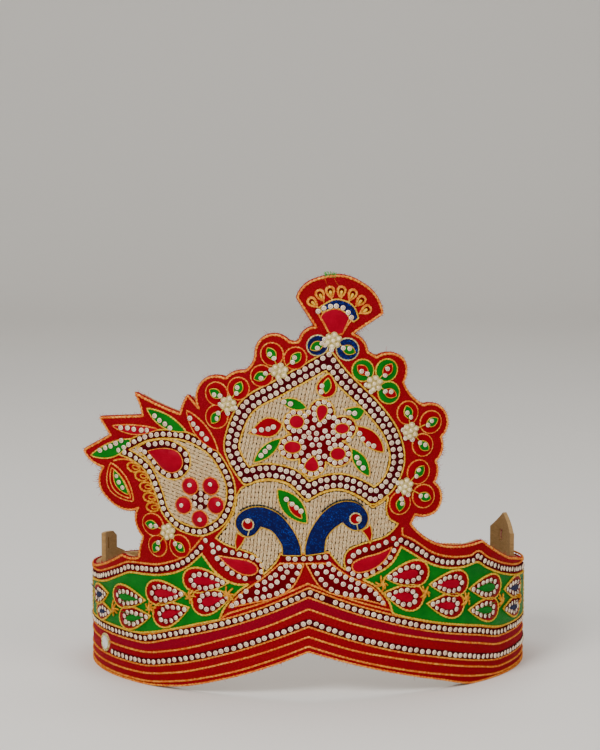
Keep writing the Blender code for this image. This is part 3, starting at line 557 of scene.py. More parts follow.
def holdCurve(name, loops):  # a flat curve of closed loops, on an object that is dropped later
    curve = bpy.data.curves.new(name, "CURVE")
    curve.dimensions = "2D"
    for path in loops:
        line = curve.splines.new("POLY")
        line.points.add(len(path) - 1)
        for point, (x, y) in zip(line.points, path):
            point.co = (x, y, 0, 1)
        line.use_cyclic_u = True
    return linkHolder(name, curve)


def linkHolder(name, curve):
    holder = bpy.data.objects.new(name, curve)
    bpy.context.scene.collection.objects.link(holder)
    return holder


def takeMesh(part, holder, merge):  # the shape of a curve goes into part
    depsgraph = bpy.context.evaluated_depsgraph_get()
    carrier = bpy.data.meshes.new_from_object(holder.evaluated_get(depsgraph))
    part.from_mesh(carrier)
    bpy.data.meshes.remove(carrier)
    bmesh.ops.remove_doubles(part, verts=part.verts, dist=merge)


def dropHolder(holder):
    curve = holder.data
    bpy.data.objects.remove(holder, do_unlink=True)
    bpy.data.curves.remove(curve)


def addPad(piece, key, outlines, low, high, rounding=0.3, cell=4.0, cellZ=None, crowned=0.0, reach=2.5):
    part = bmesh.new()
    if len(outlines) == 1:
        part.faces.new([part.verts.new((u, z, low)) for u, z in outlines[0]])
    else:  # an outline and the opening in it
        holder = holdCurve("ringOutline", outlines)
        holder.data.fill_mode = "BOTH"
        takeMesh(part, holder, 0.001)
        bmesh.ops.translate(part, verts=part.verts, vec=(0, 0, low))
        dropHolder(holder)
    bmesh.ops.recalc_face_normals(part, faces=part.faces)
    if part.faces[:][0].normal.z < 0:
        bmesh.ops.reverse_faces(part, faces=part.faces)
    raised = bmesh.ops.extrude_face_region(part, geom=part.faces[:])["geom"]
    top = [item for item in raised if isinstance(item, bmesh.types.BMFace)]
    lifted = [item for item in raised if isinstance(item, bmesh.types.BMVert)]
    bmesh.ops.translate(part, verts=lifted, vec=(0, 0, high - low - rounding))
    if rounding > 0:
        for inset, rise in ((0.3, 0.7), (0.7, 0.3)):
            bmesh.ops.inset_region(part, faces=top, thickness=rounding * inset, depth=0.0,
                                   use_even_offset=True, use_boundary=True)
            crest = {v for f in top for v in f.verts}
            bmesh.ops.translate(part, verts=list(crest), vec=(0, 0, rounding * rise))
    gridCuts(part, cell, cellZ)
    if len(outlines) > 1:
        bmesh.ops.dissolve_degenerate(part, dist=0.01, edges=part.edges)
    bmesh.ops.recalc_face_normals(part, faces=part.faces)
    if part.calc_volume(signed=True) < 0:
        bmesh.ops.reverse_faces(part, faces=part.faces)
    if crowned:
        tops = [v for v in part.verts if v.co.z > high - 0.01]
        spots = np.array([(v.co.x, v.co.y) for v in tops])
        far = np.min([farFrom(spots, path) for path in outlines], axis=0)
        rise = crowned * (1 - (1 - np.clip(far / reach, 0, 1)) ** 2)
        for vert, lift in zip(tops, rise):
            vert.co.z += lift
    mergeInto(piece, part, key)


def addStrip(piece, key, path, halfWidth, low, high):
    points = evenLine(path, 1.6)
    side = leftNormals(points, False) * halfWidth
    around = [tuple(p) for p in np.vstack([points + side, (points - side)[::-1]])]
    addPad(piece, key, [around], low, high, 0.25)


def cordProfile(sides, radius, lobes):  # the round of a cord, a little twisted where it has lobes
    angles = [math.tau * k / sides for k in range(sides)]
    reach = [radius * (1 + lobes * math.cos(2 * a)) for a in angles]
    return holdCurve("cordProfile", [[(r * math.cos(a), r * math.sin(a)) for a, r in zip(angles, reach)]])


def addCords(piece, key, runs, radius, step=0.5, lobes=0.2, sides=8, turnLength=3.2):
    # each run is (rows of u, z, t, closed) and may carry a taper
    profile = cordProfile(sides, radius, lobes)
    curve = bpy.data.curves.new("cordRun", "CURVE")
    curve.dimensions = "3D"
    curve.twist_mode = "Z_UP"
    curve.bevel_mode = "OBJECT"
    curve.bevel_object = profile
    curve.use_fill_caps = True
    for rows, closed, *taper in runs:
        points = evenLine(rows, step, closed)
        count = len(points)
        turns = max(1, round(count * step / turnLength))
        tilt = np.arange(count) * (math.tau * turns / count if closed else math.tau * step / turnLength)
        spline = curve.splines.new("POLY")
        spline.points.add(count - 1)
        spline.points.foreach_set("co", np.hstack([points, np.ones((count, 1))]).ravel())
        spline.points.foreach_set("tilt", tilt)
        if taper:
            spline.points.foreach_set("radius", np.interp(np.linspace(0, 1, count), (0, 1), taper[0]))
        spline.use_cyclic_u = closed
    holder = linkHolder("cordRun", curve)
    part = bmesh.new()
    takeMesh(part, holder, 0.0001)
    bmesh.ops.recalc_face_normals(part, faces=part.faces)
    mergeInto(piece, part, key)
    dropHolder(holder)
    dropHolder(profile)


def raised(path, t):
    points = np.array(path, float)
    return np.column_stack([points, np.full(len(points), t)])


# Rings of the stone from its seat, rimmed in painted shade, up to its table, ringed in painted reflection:
# radius, height, tone.
stoneSides = 10
stoneRings = [(1.15, 0.0, 1), (1.15, 0.07, 1), (1.0, 0.07, 1), (1.0, 0.20, 1), (0.60, 0.46, 0),
              (0.46, 0.43, 2),
              (0.30, 0.43, 2), (0.0, 0.48, 0)]


def stoneTemplate():  # a flat-backed cut stone of unit radius on its seat
    part = bmesh.new()
    rims = []
    for radius, height, tone in stoneRings[:-1]:
        turn = math.pi / stoneSides if radius < 1 else 0.0
        rims.append([part.verts.new((radius * math.cos(math.tau * k / stoneSides + turn),
                                     radius * math.sin(math.tau * k / stoneSides + turn), height))
                     for k in range(stoneSides)])
    part.faces.new(rims[0][::-1]).material_index = 1
    for low, high, ring in zip(rims, rims[1:], stoneRings[1:]):
        for k in range(stoneSides):
            part.faces.new((low[k - 1], low[k], high[k], high[k - 1])).material_index = ring[2]
    peak = part.verts.new((0, 0, stoneRings[-1][1]))
    for k in range(stoneSides):
        part.faces.new((rims[-1][k - 1], rims[-1][k], peak)).material_index = stoneRings[-1][2]
    bmesh.ops.recalc_face_normals(part, faces=part.faces)
    bmesh.ops.triangulate(part, faces=part.faces)
    return templateArrays(part)


def domeTemplate(sides=8, rows=3, squash=0.7):
    part = bmesh.new()
    bmesh.ops.create_uvsphere(part, u_segments=sides, v_segments=rows * 2, radius=1.0)
    bmesh.ops.scale(part, verts=part.verts, vec=(1, 1, squash))
    bmesh.ops.triangulate(part, faces=part.faces)
    return templateArrays(part)


def templateArrays(part):
    part.verts.ensure_lookup_table()
    corners = np.array([v.co[:] for v in part.verts])
    faces = np.array([[v.index for v in f.verts] for f in part.faces])
    tones = np.array([f.material_index for f in part.faces])
    part.free()
    return corners, faces, tones


def addTiles(piece, keys, template, rows, tilt=0.10):  # rows of u, z, t, radius
    corners, faces, tones = template
    rows = np.array(rows, float)
    count = len(rows)
    spin = dice.uniform(0, math.tau, count)
    lean = dice.normal(0, tilt, (count, 2))
    c, s = np.cos(spin)[:, None], np.sin(spin)[:, None]
    x = corners[None, :, 0] * c - corners[None, :, 1] * s
    y = corners[None, :, 0] * s + corners[None, :, 1] * c
    z = corners[None, :, 2] + x * lean[:, :1] + y * lean[:, 1:]
    size = rows[:, 3:4]
    spots = np.stack([x * size + rows[:, 0:1], y * size + rows[:, 1:2], z * size + rows[:, 2:3]], 2)
    allFaces = faces[None] + (np.arange(count) * len(corners))[:, None, None]
    carrier = bpy.data.meshes.new("tiles")
    carrier.from_pydata(spots.reshape(-1, 3), [], allFaces.reshape(-1, 3))
    order = np.array([finishIndex(piece, key) for key in keys])
    carrier.polygons.foreach_set("material_index", order[np.tile(tones, count)])
    piece["mesh"].from_mesh(carrier)
    bpy.data.meshes.remove(carrier)


def bandShare(flat):  # 0 on the lower rim, 1 on the upper stone row
    rows = np.array(bandRows, float)
    low = np.interp(flat[:, 0], rows[:, 0], rows[:, 1])
    high = np.interp(flat[:, 0], rows[:, 0], rows[:, 3])
    return (flat[:, 1] - low) / (high - low)


def nodeOf(name):  # leafPairLeft1 stands for the solid leaf_pair_left_1
    return re.sub(r"([A-Z]|\d+)", r"_\1", name).lower()


def endPiece(piece, stands=True, sharp=40.0):
    name = piece["name"]
    mesh = bpy.data.meshes.new(name)
    piece["mesh"].to_mesh(mesh)
    piece["mesh"].free()
    count = len(mesh.vertices)
    flat = np.empty(count * 3)
    mesh.vertices.foreach_get("co", flat)
    flat = flat.reshape(-1, 3)
    corner = np.empty(len(mesh.loops), int)
    mesh.loops.foreach_get("vertex_index", corner)
    pattern = mesh.uv_layers.new(name="flatPattern")
    pattern.data.foreach_set("uv", (flat[corner, :2] / 10).ravel())
    if name == "velvetFacing":
        rows = mesh.uv_layers.new(name="bandRows")
        rows.data.foreach_set("uv", np.column_stack([flat[:, 0] / 10, bandShare(flat)])[corner].ravel())
    mesh.vertices.foreach_set("co", bendPoints(flat).ravel())
    for key in piece["finishes"]:
        mesh.materials.append(finishes[key])
    mesh.shade_smooth()
    mesh.set_sharp_from_angle(angle=math.radians(sharp))
    mesh.update()
    thing = bpy.data.objects.new(name, mesh)
    bpy.context.scene.collection.objects.link(thing)
    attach(thing, "root")
    if stands:
        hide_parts(nodeOf(name))
    return thing


def padPiece(name, slot, key, outlines, low, high, rounding=0.3, *cells, **crown):  # a piece of one pad
    piece = startPiece(name)
    addPad(piece, key, outlines, low, high, rounding, *cells, **crown)
    return endPiece(piece)


# The pattern: heights along the band
bandRows = [  # u, lower edge, lower stone row, upper stone row
    (-220, 0, 10.5, 21.5), (-105, 0, 10.8, 21.5), (-85, 0, 10.8, 21.6),
    (-65, 1.6, 14.1, 26.3), (-38, 8, 21.6, 33.9), (-20, 14, 28, 40.5), (-1.5, 21.3, 35.4, 48.8),
    (20, 14.9, 27.7, 40.5), (40, 9.6, 21.9, 34.1), (60, 4.8, 17.4, 28.9),
    (83, 0, 12.5, 24.5), (102, 0, 10, 21), (220, 0, 10, 21)]
bandCords = [  # u, then the six couched lines from the lowest up
    (-220, 1.6, 5, 8.7, 15, 19.3, 23.4), (-105, 1.6, 5, 8.8, 15, 19.4, 23.4),
    (-85, 1.7, 5.3, 8.9, 15.1, 19.4, 23.4), (-65, 4.1, 8.1, 12.1, 18.5, 24.2, 28.1),
    (-38, 10.6, 15.5, 19.6, 26.8, 31.9, 35.8), (-20, 16.8, 21.5, 25.9, 33, 38.5, 42.4),
    (-1.5, 24.1, 28.5, 33.1, 41.2, 46.5, 50.8), (20, 17.2, 21.5, 25.7, 33.5, 38.5, 42.5),
    (40, 12, 16.7, 19.9, 28, 32.1, 36.2), (60, 7.6, 12.1, 15.4, 23.4, 26.9, 31),
    (83, 3.3, 7.6, 10.6, 18.6, 22.5, 26.6), (102, 1.6, 4.6, 8.1, 15.2, 19, 23.1),
    (220, 1.6, 4.5, 8.1, 15, 19, 23.1)]
band = {"apex": 6, "rowEnd": 212.0, "lowerRowStart": -108.5, "hemLift": 0.45, "flatPast": 100.0,
        "cordDepth": 0.28, "rowHalf": 1.45, "rowTop": 0.75, "rowGap": (5.4, 9.6), "stonePitch": 3.05,
        "stoneDepth": 0.08}
bandTwins = [  # start, from u, to u and rise of the short lines over the top one
    ([(-41.5, 34.9)], -39, -1, 2.1), ([], -2, 41, 1.8)]
sideMirror = {"u": -114.0, "z": 14.0, "radius": 4.2, "rim": 0.9, "cordIn": 0.3}


def bandLine(table, column, spacing=2.0):  # smooth on each side of the apex, without overshoot
    rows = np.array([(row[0], row[column]) for row in table], float)
    line = []
    for stretch in (rows[:band["apex"] + 1], rows[band["apex"]:]):
        u, z = stretch.T
        grade = np.diff(z) / np.diff(u)
        agree = grade[1:] * grade[:-1] > 0
        bend = np.divide(2 * grade[1:] * grade[:-1], grade[1:] + grade[:-1], out=np.zeros(len(agree)),
                         where=agree)
        slope = np.concatenate([grade[:1], bend, grade[-1:]])
        for k in range(len(grade)):
            width = u[k + 1] - u[k]
            steps = max(1, round(width / spacing))
            s = np.arange(steps) / steps
            height = ((1 + 2 * s) * (1 - s) ** 2 * z[k] + s * (1 - s) ** 2 * width * slope[k]
                      + s * s * (3 - 2 * s) * z[k + 1] + s * s * (s - 1) * width * slope[k + 1])
            line += list(zip(u[k] + s * width, height))
    return line + [tuple(rows[-1])]


# Scalloped gold edge line: middle and end of each arc.
edgeStart = (-220.0, 41.0)
edgeArcs = [
    (-183, 43.4, -146, 45.3), (-119, 49.8, -97, 58.3), (-90.5, 57.6, -85, 59),
    (-83.3, 65, -81, 69.3), (-84.2, 75, -82, 83.2), (-91.5, 82.2, -97.5, 86.5),
    (-101, 93.4, -98.6, 101), (-103.3, 102.5, -108.5, 108), (-102, 112, -95, 115.6),
    (-97.3, 119.3, -100.3, 123.3), (-89, 124.1, -79, 125.2), (-80, 129.5, -82.7, 135.4),
    (-72, 130.7, -60.6, 127), (-59.3, 131.5, -57, 135.6), (-54, 132.3, -51.3, 129.8),
    (-49.8, 142.2, -38.7, 144), (-34.6, 147, -29.8, 147.7), (-26.4, 151, -24.9, 155.7),
    (-19.5, 163.8, -10.6, 161.6), (-7.8, 160.8, -5.4, 161.6), (-3.6, 165.4, 2, 167.7), (-1.3, 173.3, -6.4,
                                                                                        181),
    (-3.4, 185.8, 3, 189.1), (12, 190.4, 22, 186.7), (29.3, 179.6, 31.4, 173.4),
    (26, 170.5, 20, 166.4), (18.7, 165.2, 17.5, 164.5), (22.4, 161.5, 24.5, 156.4),
    (26.2, 154.8, 28.8, 153.7), (35.5, 155.3, 41.6, 152.2), (42.9, 147, 41.3, 142.4),
    (44.3, 137, 51.6, 131.2), (59.5, 130.2, 63.5, 123), (62.6, 119.6, 60, 116.6),
    (60.9, 111.5, 57.4, 105.8), (58.6, 100.9, 56.7, 96), (60.6, 89, 57.4, 82.6),
    (52.5, 81.3, 47.5, 82.3), (46, 80.4, 45.2, 78), (55, 69.4, 69, 65.3),
    (77, 65.1, 84.5, 66.2), (95, 60, 109, 54), (127, 50.4, 146, 46),
    (183, 43.6, 220, 41)]
sheets = {"velvetLow": -1.2, "boardLow": -3.5, "boardHigh": -1.25, "boardInset": 0.25, "margin": 0.8,
          "tabLow": -5.8, "tabHigh": -3.8, "cell": 3.0, "velvetRow": 1.5, "boardRow": 5.0,
          "puff": 0.42, "puffReach": 1.7}


def edgeLine():
    points, start = [], edgeStart
    for middleU, middleZ, endU, endZ in edgeArcs:
        points += arcLine(start, (middleU, middleZ), (endU, endZ))
        start = (endU, endZ)
    return points + [start]


def crownLine(margin):
    end = crown["bandEnd"]
    around = moveLoop(edgeLine() + [(end, 0), (-end, 0)], margin, 0.8)
    top = [p for p in around if p[1] > 30 and abs(p[0]) < end]
    flat = band["flatPast"]
    lower = [(u, max(z, 0.0)) for u, z in bandLine(bandRows, 1) if abs(u) < flat]
    return top + [(end, 0.0), (flat, 0.0)] + lower[::-1] + [(-flat, 0.0), (-end, 0.0)]


outline = crownLine(sheets["margin"])
onVelvet = []  # every couched line that presses into the velvet
cordRuns = {}
stoneRows = {}
stoneScatter = 0.13


def layCord(group, path, t, closed=False, finish="orangeCord", radius=0.46, pressed=False):
    cordRuns.setdefault(group, []).append((raised(path, t), closed, finish, radius))
    if pressed:
        onVelvet.append(path)


def layStones(group, spots, t, radius=1.12):  # set by hand, so a little unevenly
    offsets = dice.normal(0, stoneScatter, (len(spots), 2))
    stoneRows.setdefault(group, []).extend((u + du, z + dz, t, radius) for (u, z),
                                           (du, dz) in zip(spots, offsets))


def stoneLine(group, path, t, closed=False, pitch=3.02, radius=1.12, nudge=0.0):
    layStones(group, evenLine(path, pitch, closed, nudge), t, radius)


# Band: couched lines, stone rows and the round mirror
def drawBand():
    for column in range(1, 7):
        layCord("bandCords", bandLine(bandCords, column), band["cordDepth"], pressed=True)
    hem = [(u, z + band["hemLift"]) for u, z in bandLine(bandRows, 1)]
    layCord("bandCords", hem, 0.2, radius=0.5)
    for start, first, last, rise in bandTwins:
        twin = start + [(row[0], row[6] + rise) for row in bandCords if first <= row[0] <= last]
        layCord("bandCords", smoothLine(twin, 2.0), band["cordDepth"], pressed=True)
    for name, column, first in (("stoneRowLower", 2, band["lowerRowStart"]),
                                ("stoneRowUpper", 3, -band["rowEnd"])):
        path = [p for p in bandLine(bandRows, column) if first <= p[0] <= band["rowEnd"]]
        piece = startPiece(name)
        addStrip(piece, "channel", path, band["rowHalf"], -0.1, band["rowTop"])
        endPiece(piece)
        spots = evenLine(path, band["stonePitch"])
        if column == 3:
            low, high = band["rowGap"]
            spots = [p for p in spots if not low < p[0] < high]
        layStones("bandStones", spots, band["rowTop"] - band["stoneDepth"])
    drawMirror()


def drawMirror():
    def circle(inset):
        radius = sideMirror["radius"] - inset
        return ovalLine(sideMirror["u"], sideMirror["z"], radius, radius)

    piece = startPiece("sideMirror")
    addPad(piece, "paleBead", [circle(0)], -0.1, 0.8, 0.3)
    addPad(piece, "mirror", [circle(sideMirror["rim"])], 0.7, 1.3, 0.45)
    endPiece(piece)
    layCord("bandPaleCords", circle(sideMirror["cordIn"]), 0.85, True, "paleCord")


drawBand()
print("band drawn")

# Edges: the outer line, its inner companion and the bead border over the satin
edges = {
    "borderLeft": [(-50.8, 67.4), (-55, 62.9), (-61.5, 58.6), (-72.5, 55), (-80, 54.2),
                   (-92, 53.4), (-101, 50.2), (-111, 46.8), (-122, 43.9), (-136.5, 42.6)],
    "borderRight": [(40.4, 71), (45.7, 68.4), (54.5, 62.4), (62, 59.5), (71, 58), (79.6, 58),
                    (82.3, 59.5), (88, 56), (95.6, 52.8), (104, 50), (118, 47), (136.5, 45.4)],
    "leadLeft": (-49.6, 72.6), "leadRight": (41.2, 76.6), "foot": 25.2, "companion": 2.45, "rear": 219.0,
    "rearDrop": 4.0, "paleShift": 2.1, "footSkip": 3}


def drawEdges():
    layCord("edgeCord", edgeLine(), 0.25, radius=0.52, pressed=True)
    for side, sign in (("Left", -1), ("Right", 1)):
        path = edges["border" + side]
        corner = path[-1]
        line = smoothLine(path)
        foot = smoothLine([corner, (corner[0], edges["foot"])])
        piece = startPiece("panelBorder" + side)
        addStrip(piece, "channel", line + foot[1:], band["rowHalf"], -0.1, band["rowTop"])
        endPiece(piece)
        for run in (line, foot[edges["footSkip"]:]):
            stoneLine("panelStones" + side, run, band["rowTop"] - band["stoneDepth"])
        above = [edges["lead" + side]] + moveLine(line, sign * edges["companion"])
        rear = (sign * edges["rear"], above[-1][1] - edges["rearDrop"])
        layCord("edgeCord", above + smoothLine([above[-1], rear], 2.0)[1:], 0.28, pressed=True)
        for shift in (-edges["paleShift"], edges["paleShift"]):
            layCord("panelPaleCords", [(u + shift, z) for u, z in foot], 0.4, False, "paleCord", 0.4)


drawEdges()
print("edges drawn")


# Satin panels and their pairs of stone-ringed leaves
panels = {
    "Left": [
        [(-50.3, 64.3), (-57, 58.2), (-64, 54.6), (-73, 52.4), (-82, 51.6), (-92, 50.9),
         (-102, 47.2), (-112, 43.6), (-122, 41.6), (-134, 40.3)],
        [(-134, 23.9)],
        [(-105, 23.9), (-85, 24), (-65, 28.6), (-52, 32.4), (-41.8, 35)],
        [(-40.5, 38.8), (-37, 44.2), (-32.5, 49), (-28.2, 52)],
        [(-33.5, 51.6), (-39, 53.3), (-44, 56.8), (-47.5, 60.7), (-50.3, 64.3)]],
    "Right": [
        [(40.6, 68), (46, 64.6), (52, 60.8), (58.5, 57.7), (66, 55.9), (74, 55.5),
         (82, 56.6), (88, 53.4), (95.5, 50.2), (104, 47.5), (118, 44.4), (134, 42.8)],
        [(134, 23.5)],
        [(102, 23.5), (83, 27), (60, 31.4), (40, 36.7), (36.6, 38.4)],
        [(35, 43.2), (31.5, 48), (27.8, 51.6), (22.8, 54.1)],
        [(28, 56.2), (33.5, 58.8), (37.3, 62.3), (40.6, 68)]]}
leafPairs = {  # u, z, length, height and tilt of each leaf, then the inner cloth
    "Left1": [(-48.4, 52.3, 22, 11.4, 0), (-45.4, 43.8, 20, 12, 18), "magenta"],
    "Left2": [(-69.3, 44.6, 22, 11.4, 5), (-66.2, 35.8, 20.5, 11.4, 20), "magenta"],
    "Left3": [(-92.5, 39.2, 23, 10.8, 2), (-88.3, 30.6, 21.5, 10.6, 12), "green"],
    "Left4": [(-118, 36.2, 18, 9.5, 12), (-114.5, 28.8, 17, 8.6, 8), "darkBlue"],
    "Right1": [(43.2, 55.3, 21.5, 12, 4), (41.8, 45.5, 19.4, 12, -14), "magenta"],
    "Right2": [(65.2, 49, 21.4, 11.8, -4), (63.4, 39.3, 20.4, 11.4, -10), "magenta"],
    "Right3": [(88.1, 44, 22.5, 11.6, -5), (86.9, 33.8, 21, 11, -8), "green"],
    "Right4": [(112.8, 39.6, 20, 10.4, -6), (111.6, 30.6, 19, 9.8, -6), "darkBlue"]}
leafLook = {"low": 0.8, "high": 1.5, "ringLength": 6.4, "ringHeight": 5.2, "ringShift": 0.9,
            "innerLength": 2.9, "innerHeight": 2.5, "leastHeight": 2.6, "channelHalf": 1.25}
knots = [(52, 46.5), (74.5, 40.5), (99.5, 36), (120, 33), (-56, 44.5), (-77.5, 36.5), (-103, 32),
         (31.5, 52), (-37.5, 47)]
knotLook = {"strands": 7, "turn": 0.3, "reach": (2.2, 3.4), "tall": 1.25, "bend": 0.3, "t": 1.7, "radius": 0.55}


def addLeaf(piece, u, z, length, height, tilt, inner):
    low, high = leafLook["low"], leafLook["high"]
    shape = dropLine(u, z, length, height, tilt)
    addPad(piece, "red", [shape], low, high, 0.35, crowned=0.3)
    layCord("panelCords", shape, high - 0.2, True, "yellowCord", 0.5)
    shift = math.cos(math.radians(tilt)) * leafLook["ringShift"]
    ringLength, ringHeight = length - leafLook["ringLength"], height - leafLook["ringHeight"]
    ring = dropLine(u + shift, z, ringLength, ringHeight, tilt)
    wide = moveLoop(ring, leafLook["channelHalf"])
    addPad(piece, "maroon", [wide], high - 0.1, high + 0.42, 0.15)
    stoneLine("leafStones", ring, high + 0.34, True, 2.95, 1.1)
    heart = dropLine(u + shift, z, ringLength - leafLook["innerLength"],
                     max(ringHeight - leafLook["innerHeight"], leafLook["leastHeight"]), tilt)
    addPad(piece, inner, [heart], high + 0.3, high + 0.75, 0.3, crowned=0.5, reach=2.0)


def knotStrands(u, z):  # a loose star of thread
    strands, count, t = [], knotLook["strands"], knotLook["t"]
    for k in range(count):
        a = math.tau * k / count + float(dice.uniform(-knotLook["turn"], knotLook["turn"]))
        reach = float(dice.uniform(*knotLook["reach"]))
        far = (u + reach * math.cos(a), z + knotLook["tall"] * reach * math.sin(a))
        bent = a + knotLook["bend"]
        middle = (u + 0.5 * reach * math.cos(bent), z + 0.5 * reach * math.sin(bent))
        strands.append((np.array([(u, z, t + 0.5), (*middle, t + 0.45), (*far, t - 0.35)]), False,
                        (1.0, 0.7)))
    return strands


def drawPanels():
    for side, stretches in panels.items():
        shape = closedLine(stretches)
        satin = padPiece("satinPanel" + side, "green_satin", "green", [shape], -0.1, 0.85, 0.3, 3.0, 3.0,
                         crowned=0.12)
        layCord("panelCords", shape, 0.75, True, "yellowCord", 0.5)
    for name, (upper, lower, inner) in leafPairs.items():
        piece = startPiece("leafPair" + name)
        for u, z, length, height, tilt in (upper, lower):
            addLeaf(piece, u, z, length, height, tilt + (180 if u > 0 else 0), inner)
        endPiece(piece)
    piece = startPiece("threadKnots")
    strands = [strand for spot in knots for strand in knotStrands(*spot)]
    addCords(piece, "knot", strands, knotLook["radius"], 0.6, 0.1, 6)
    endPiece(piece, False)


drawPanels()
print("satin panels drawn")


# Fields of couched zari thread
zari = {"pitch": 0.82, "wave": 1.95, "swing": 0.46, "radius": 0.47, "ground": 0.75, "top": 0.96, "pinch": 4,
        "edge": -0.55, "shortest": 4}


def zariRuns(shape, angle):
    c, s = math.cos(math.radians(angle)), math.sin(math.radians(angle))
    inner = np.array(moveLoop(shape, zari["edge"]))
    across = inner[:, 0] * c + inner[:, 1] * s
    along = -inner[:, 0] * s + inner[:, 1] * c
    runs = []
    for k in range(int(np.min(along) / zari["pitch"]) - 1, int(np.max(along) / zari["pitch"]) + 2):
        p = np.arange(np.min(across), np.max(across), 0.5)
        flip = 1 if k % 2 else -1
        couple = (k + 1) // 2
        wave = p * math.tau / zari["wave"] + couple * 2.3 + 1.7 * np.sin(p * 0.61 + couple * 1.7)
        gape = (0.5 + 0.5 * np.sin(wave)) ** zari["pinch"]  # couching parts the pair of threads here
        q = k * zari["pitch"] + flip * zari["swing"] * gape
        spots = np.stack([p * c - q * s, p * s + q * c], 1)
        lift = zari["top"] + 0.07 * np.cos(wave * 0.5 + k)
        inside = insideOf(spots, inner)
        start = None
        for i in range(len(p) + 1):
            if i < len(p) and inside[i]:
                start = i if start is None else start
            elif start is not None:
                if i - start >= zari["shortest"]:
                    runs.append((np.column_stack([spots[start:i], lift[start:i]]), False))
                start = None
    return runs


def addField(name, shape, angle):
    piece = startPiece(name)
    # the ground pad's colour is painted shade, seen through the gaps between the threads
    addPad(piece, "zariGround", [shape], -0.1, zari["ground"], 0.2, 3.0, 4.0)
    addCords(piece, "zari", zariRuns(shape, angle), zari["radius"], 0.55, 0.1, 6, 1.7)
    endPiece(piece)


heart = {
    "path": [
        [(7.4, 155.4), (15.1, 145.5), (28, 132.6), (37.1, 120.1), (40.1, 107.2), (35.6, 96), (27.3, 89.6)],
        [(21, 94.2), (12.6, 97.3), (4.5, 96.2), (-2.2, 92.4)],
        [(-8.9, 99.4), (-17.5, 101.7), (-24.5, 101), (-29.2, 98.5)],
        [(-35.2, 107.1), (-37.3, 116.5), (-30, 133.1), (-14.3, 142.9),
         (1.5, 151.9), (7.4, 155.4)]],
    "outerEdge": 1.5, "innerRow": -3.2, "innerEdge": -4.8, "fieldEdge": -4.9, "outerLine": 2.0,
    "innerLine": -5.2, "threads": 78}
paisley = {
    "path": [
        [(-91, 109), (-83.5, 106.6), (-76.2, 101.2), (-71.2, 91), (-68.2, 82.3), (-61.9, 76.6),
         (-52, 74.4), (-45.8, 76.5), (-40.2, 80.9), (-36.6, 89.3), (-37, 98.3), (-42.6, 108.4),
         (-49.1, 113.7), (-57.8, 117.2), (-67.9, 117.8), (-76.9, 116.2), (-83.5, 113), (-91, 109)]],
    "drop": [[(-76.2, 109.7), (-70.9, 111.1), (-65.6, 111.4), (-61.3, 110.1), (-59.3, 107.3),
              (-59.2, 104.2), (-61.2, 101.6), (-64.8, 100.6), (-68.4, 101.8), (-72, 105.2), (-76.2, 109.7)]],
    "dropStones": [(-79.7, 110.4), (-77.5, 109.0), (-75.2, 107.2), (-73.2, 105.0), (-71.3, 102.4),
                   (-68.7, 100.4), (-65.9, 99.2), (-62.6, 99.2), (-59.8, 100.7), (-57.5, 103.6),
                   (-57.0, 106.6), (-57.8, 109.5), (-60.4, 111.6), (-63.4, 113.0), (-66.4, 113.8),
                   (-69.5, 113.8), (-72.6, 113.3), (-75.7, 112.4)],
    "balls": [(-55.5, 95), (-45.5, 95.7), (-58.8, 86.1), (-43.1, 87.2), (-50.8, 80.4)],
    "ballStones": [(-55.2, 95.9), (-45.2, 96.7), (-59.1, 86.4), (-41.6, 88.1), (-50.2, 80.6)],
    "ballRadius": 3.9, "centre": (-50.5, 89, 4.3, 4.3), "ringHalf": 1.35,
    "borderHalf": 1.45, "outerLine": 1.95, "innerLine": -2.0, "fieldEdge": -1.7, "threads": -18,
    "centreStones": [(-50.2, 92), (-47.7, 90.8), (-47.8, 88.3), (-50.3, 86.2), (-53.1, 87.4),
                     (-53.2, 90.2), (-50.4, 89.2)]}
heartFlower = {
    "hub": (1.8, 118),
    "ground": [(1.8, 118, 6.5, 6.5), (4.1, 129.4, 5.8, 6.6), (-6.7, 125.4, 5.8, 5.6),
               (13.3, 122.8, 6.2, 5.6), (-8.3, 114.6, 6.2, 5.8), (11.3, 111.5, 6.2, 5.8),
               (0.2, 107.6, 5.8, 6.2)],
    "drops": [(4.1, 129.6, 4.9, 8, 1), (-6.7, 126, 6.4, 6, 0), (13.1, 122.8, 6.2, 4.7, 0),
              (-8.5, 114.6, 7.5, 5.4, 0), (11.3, 111.5, 6.7, 5.7, 0), (0, 107.3, 6.2, 7.3, 1)],
    "ringGap": 1.25, "rings": (2.8, 5.5, 8.2), "grid": 1.1, "fromDrop": 1.15, "apart": 2.3}


def drawHeart():
    path = closedLine(heart["path"])
    border = [moveLoop(path, heart["outerEdge"]), moveLoop(path, heart["innerEdge"])]
    padPiece("heartBorder", "stone_channel", "channel", border, -0.1, 0.8, 0.25)
    stoneLine("heartStones", path, 0.72, True)
    stoneLine("heartStones", moveLoop(path, heart["innerRow"]), 0.72, True, nudge=0.5)
    layCord("heartCords", moveLoop(path, heart["outerLine"]), 0.4, True, "yellowCord", 0.42)
    layCord("heartCords", moveLoop(path, heart["innerLine"]), 1.0, True, "yellowCord", 0.46)
    addField("heartField", moveLoop(path, heart["fieldEdge"]), heart["threads"])
    drawHeartFlower()


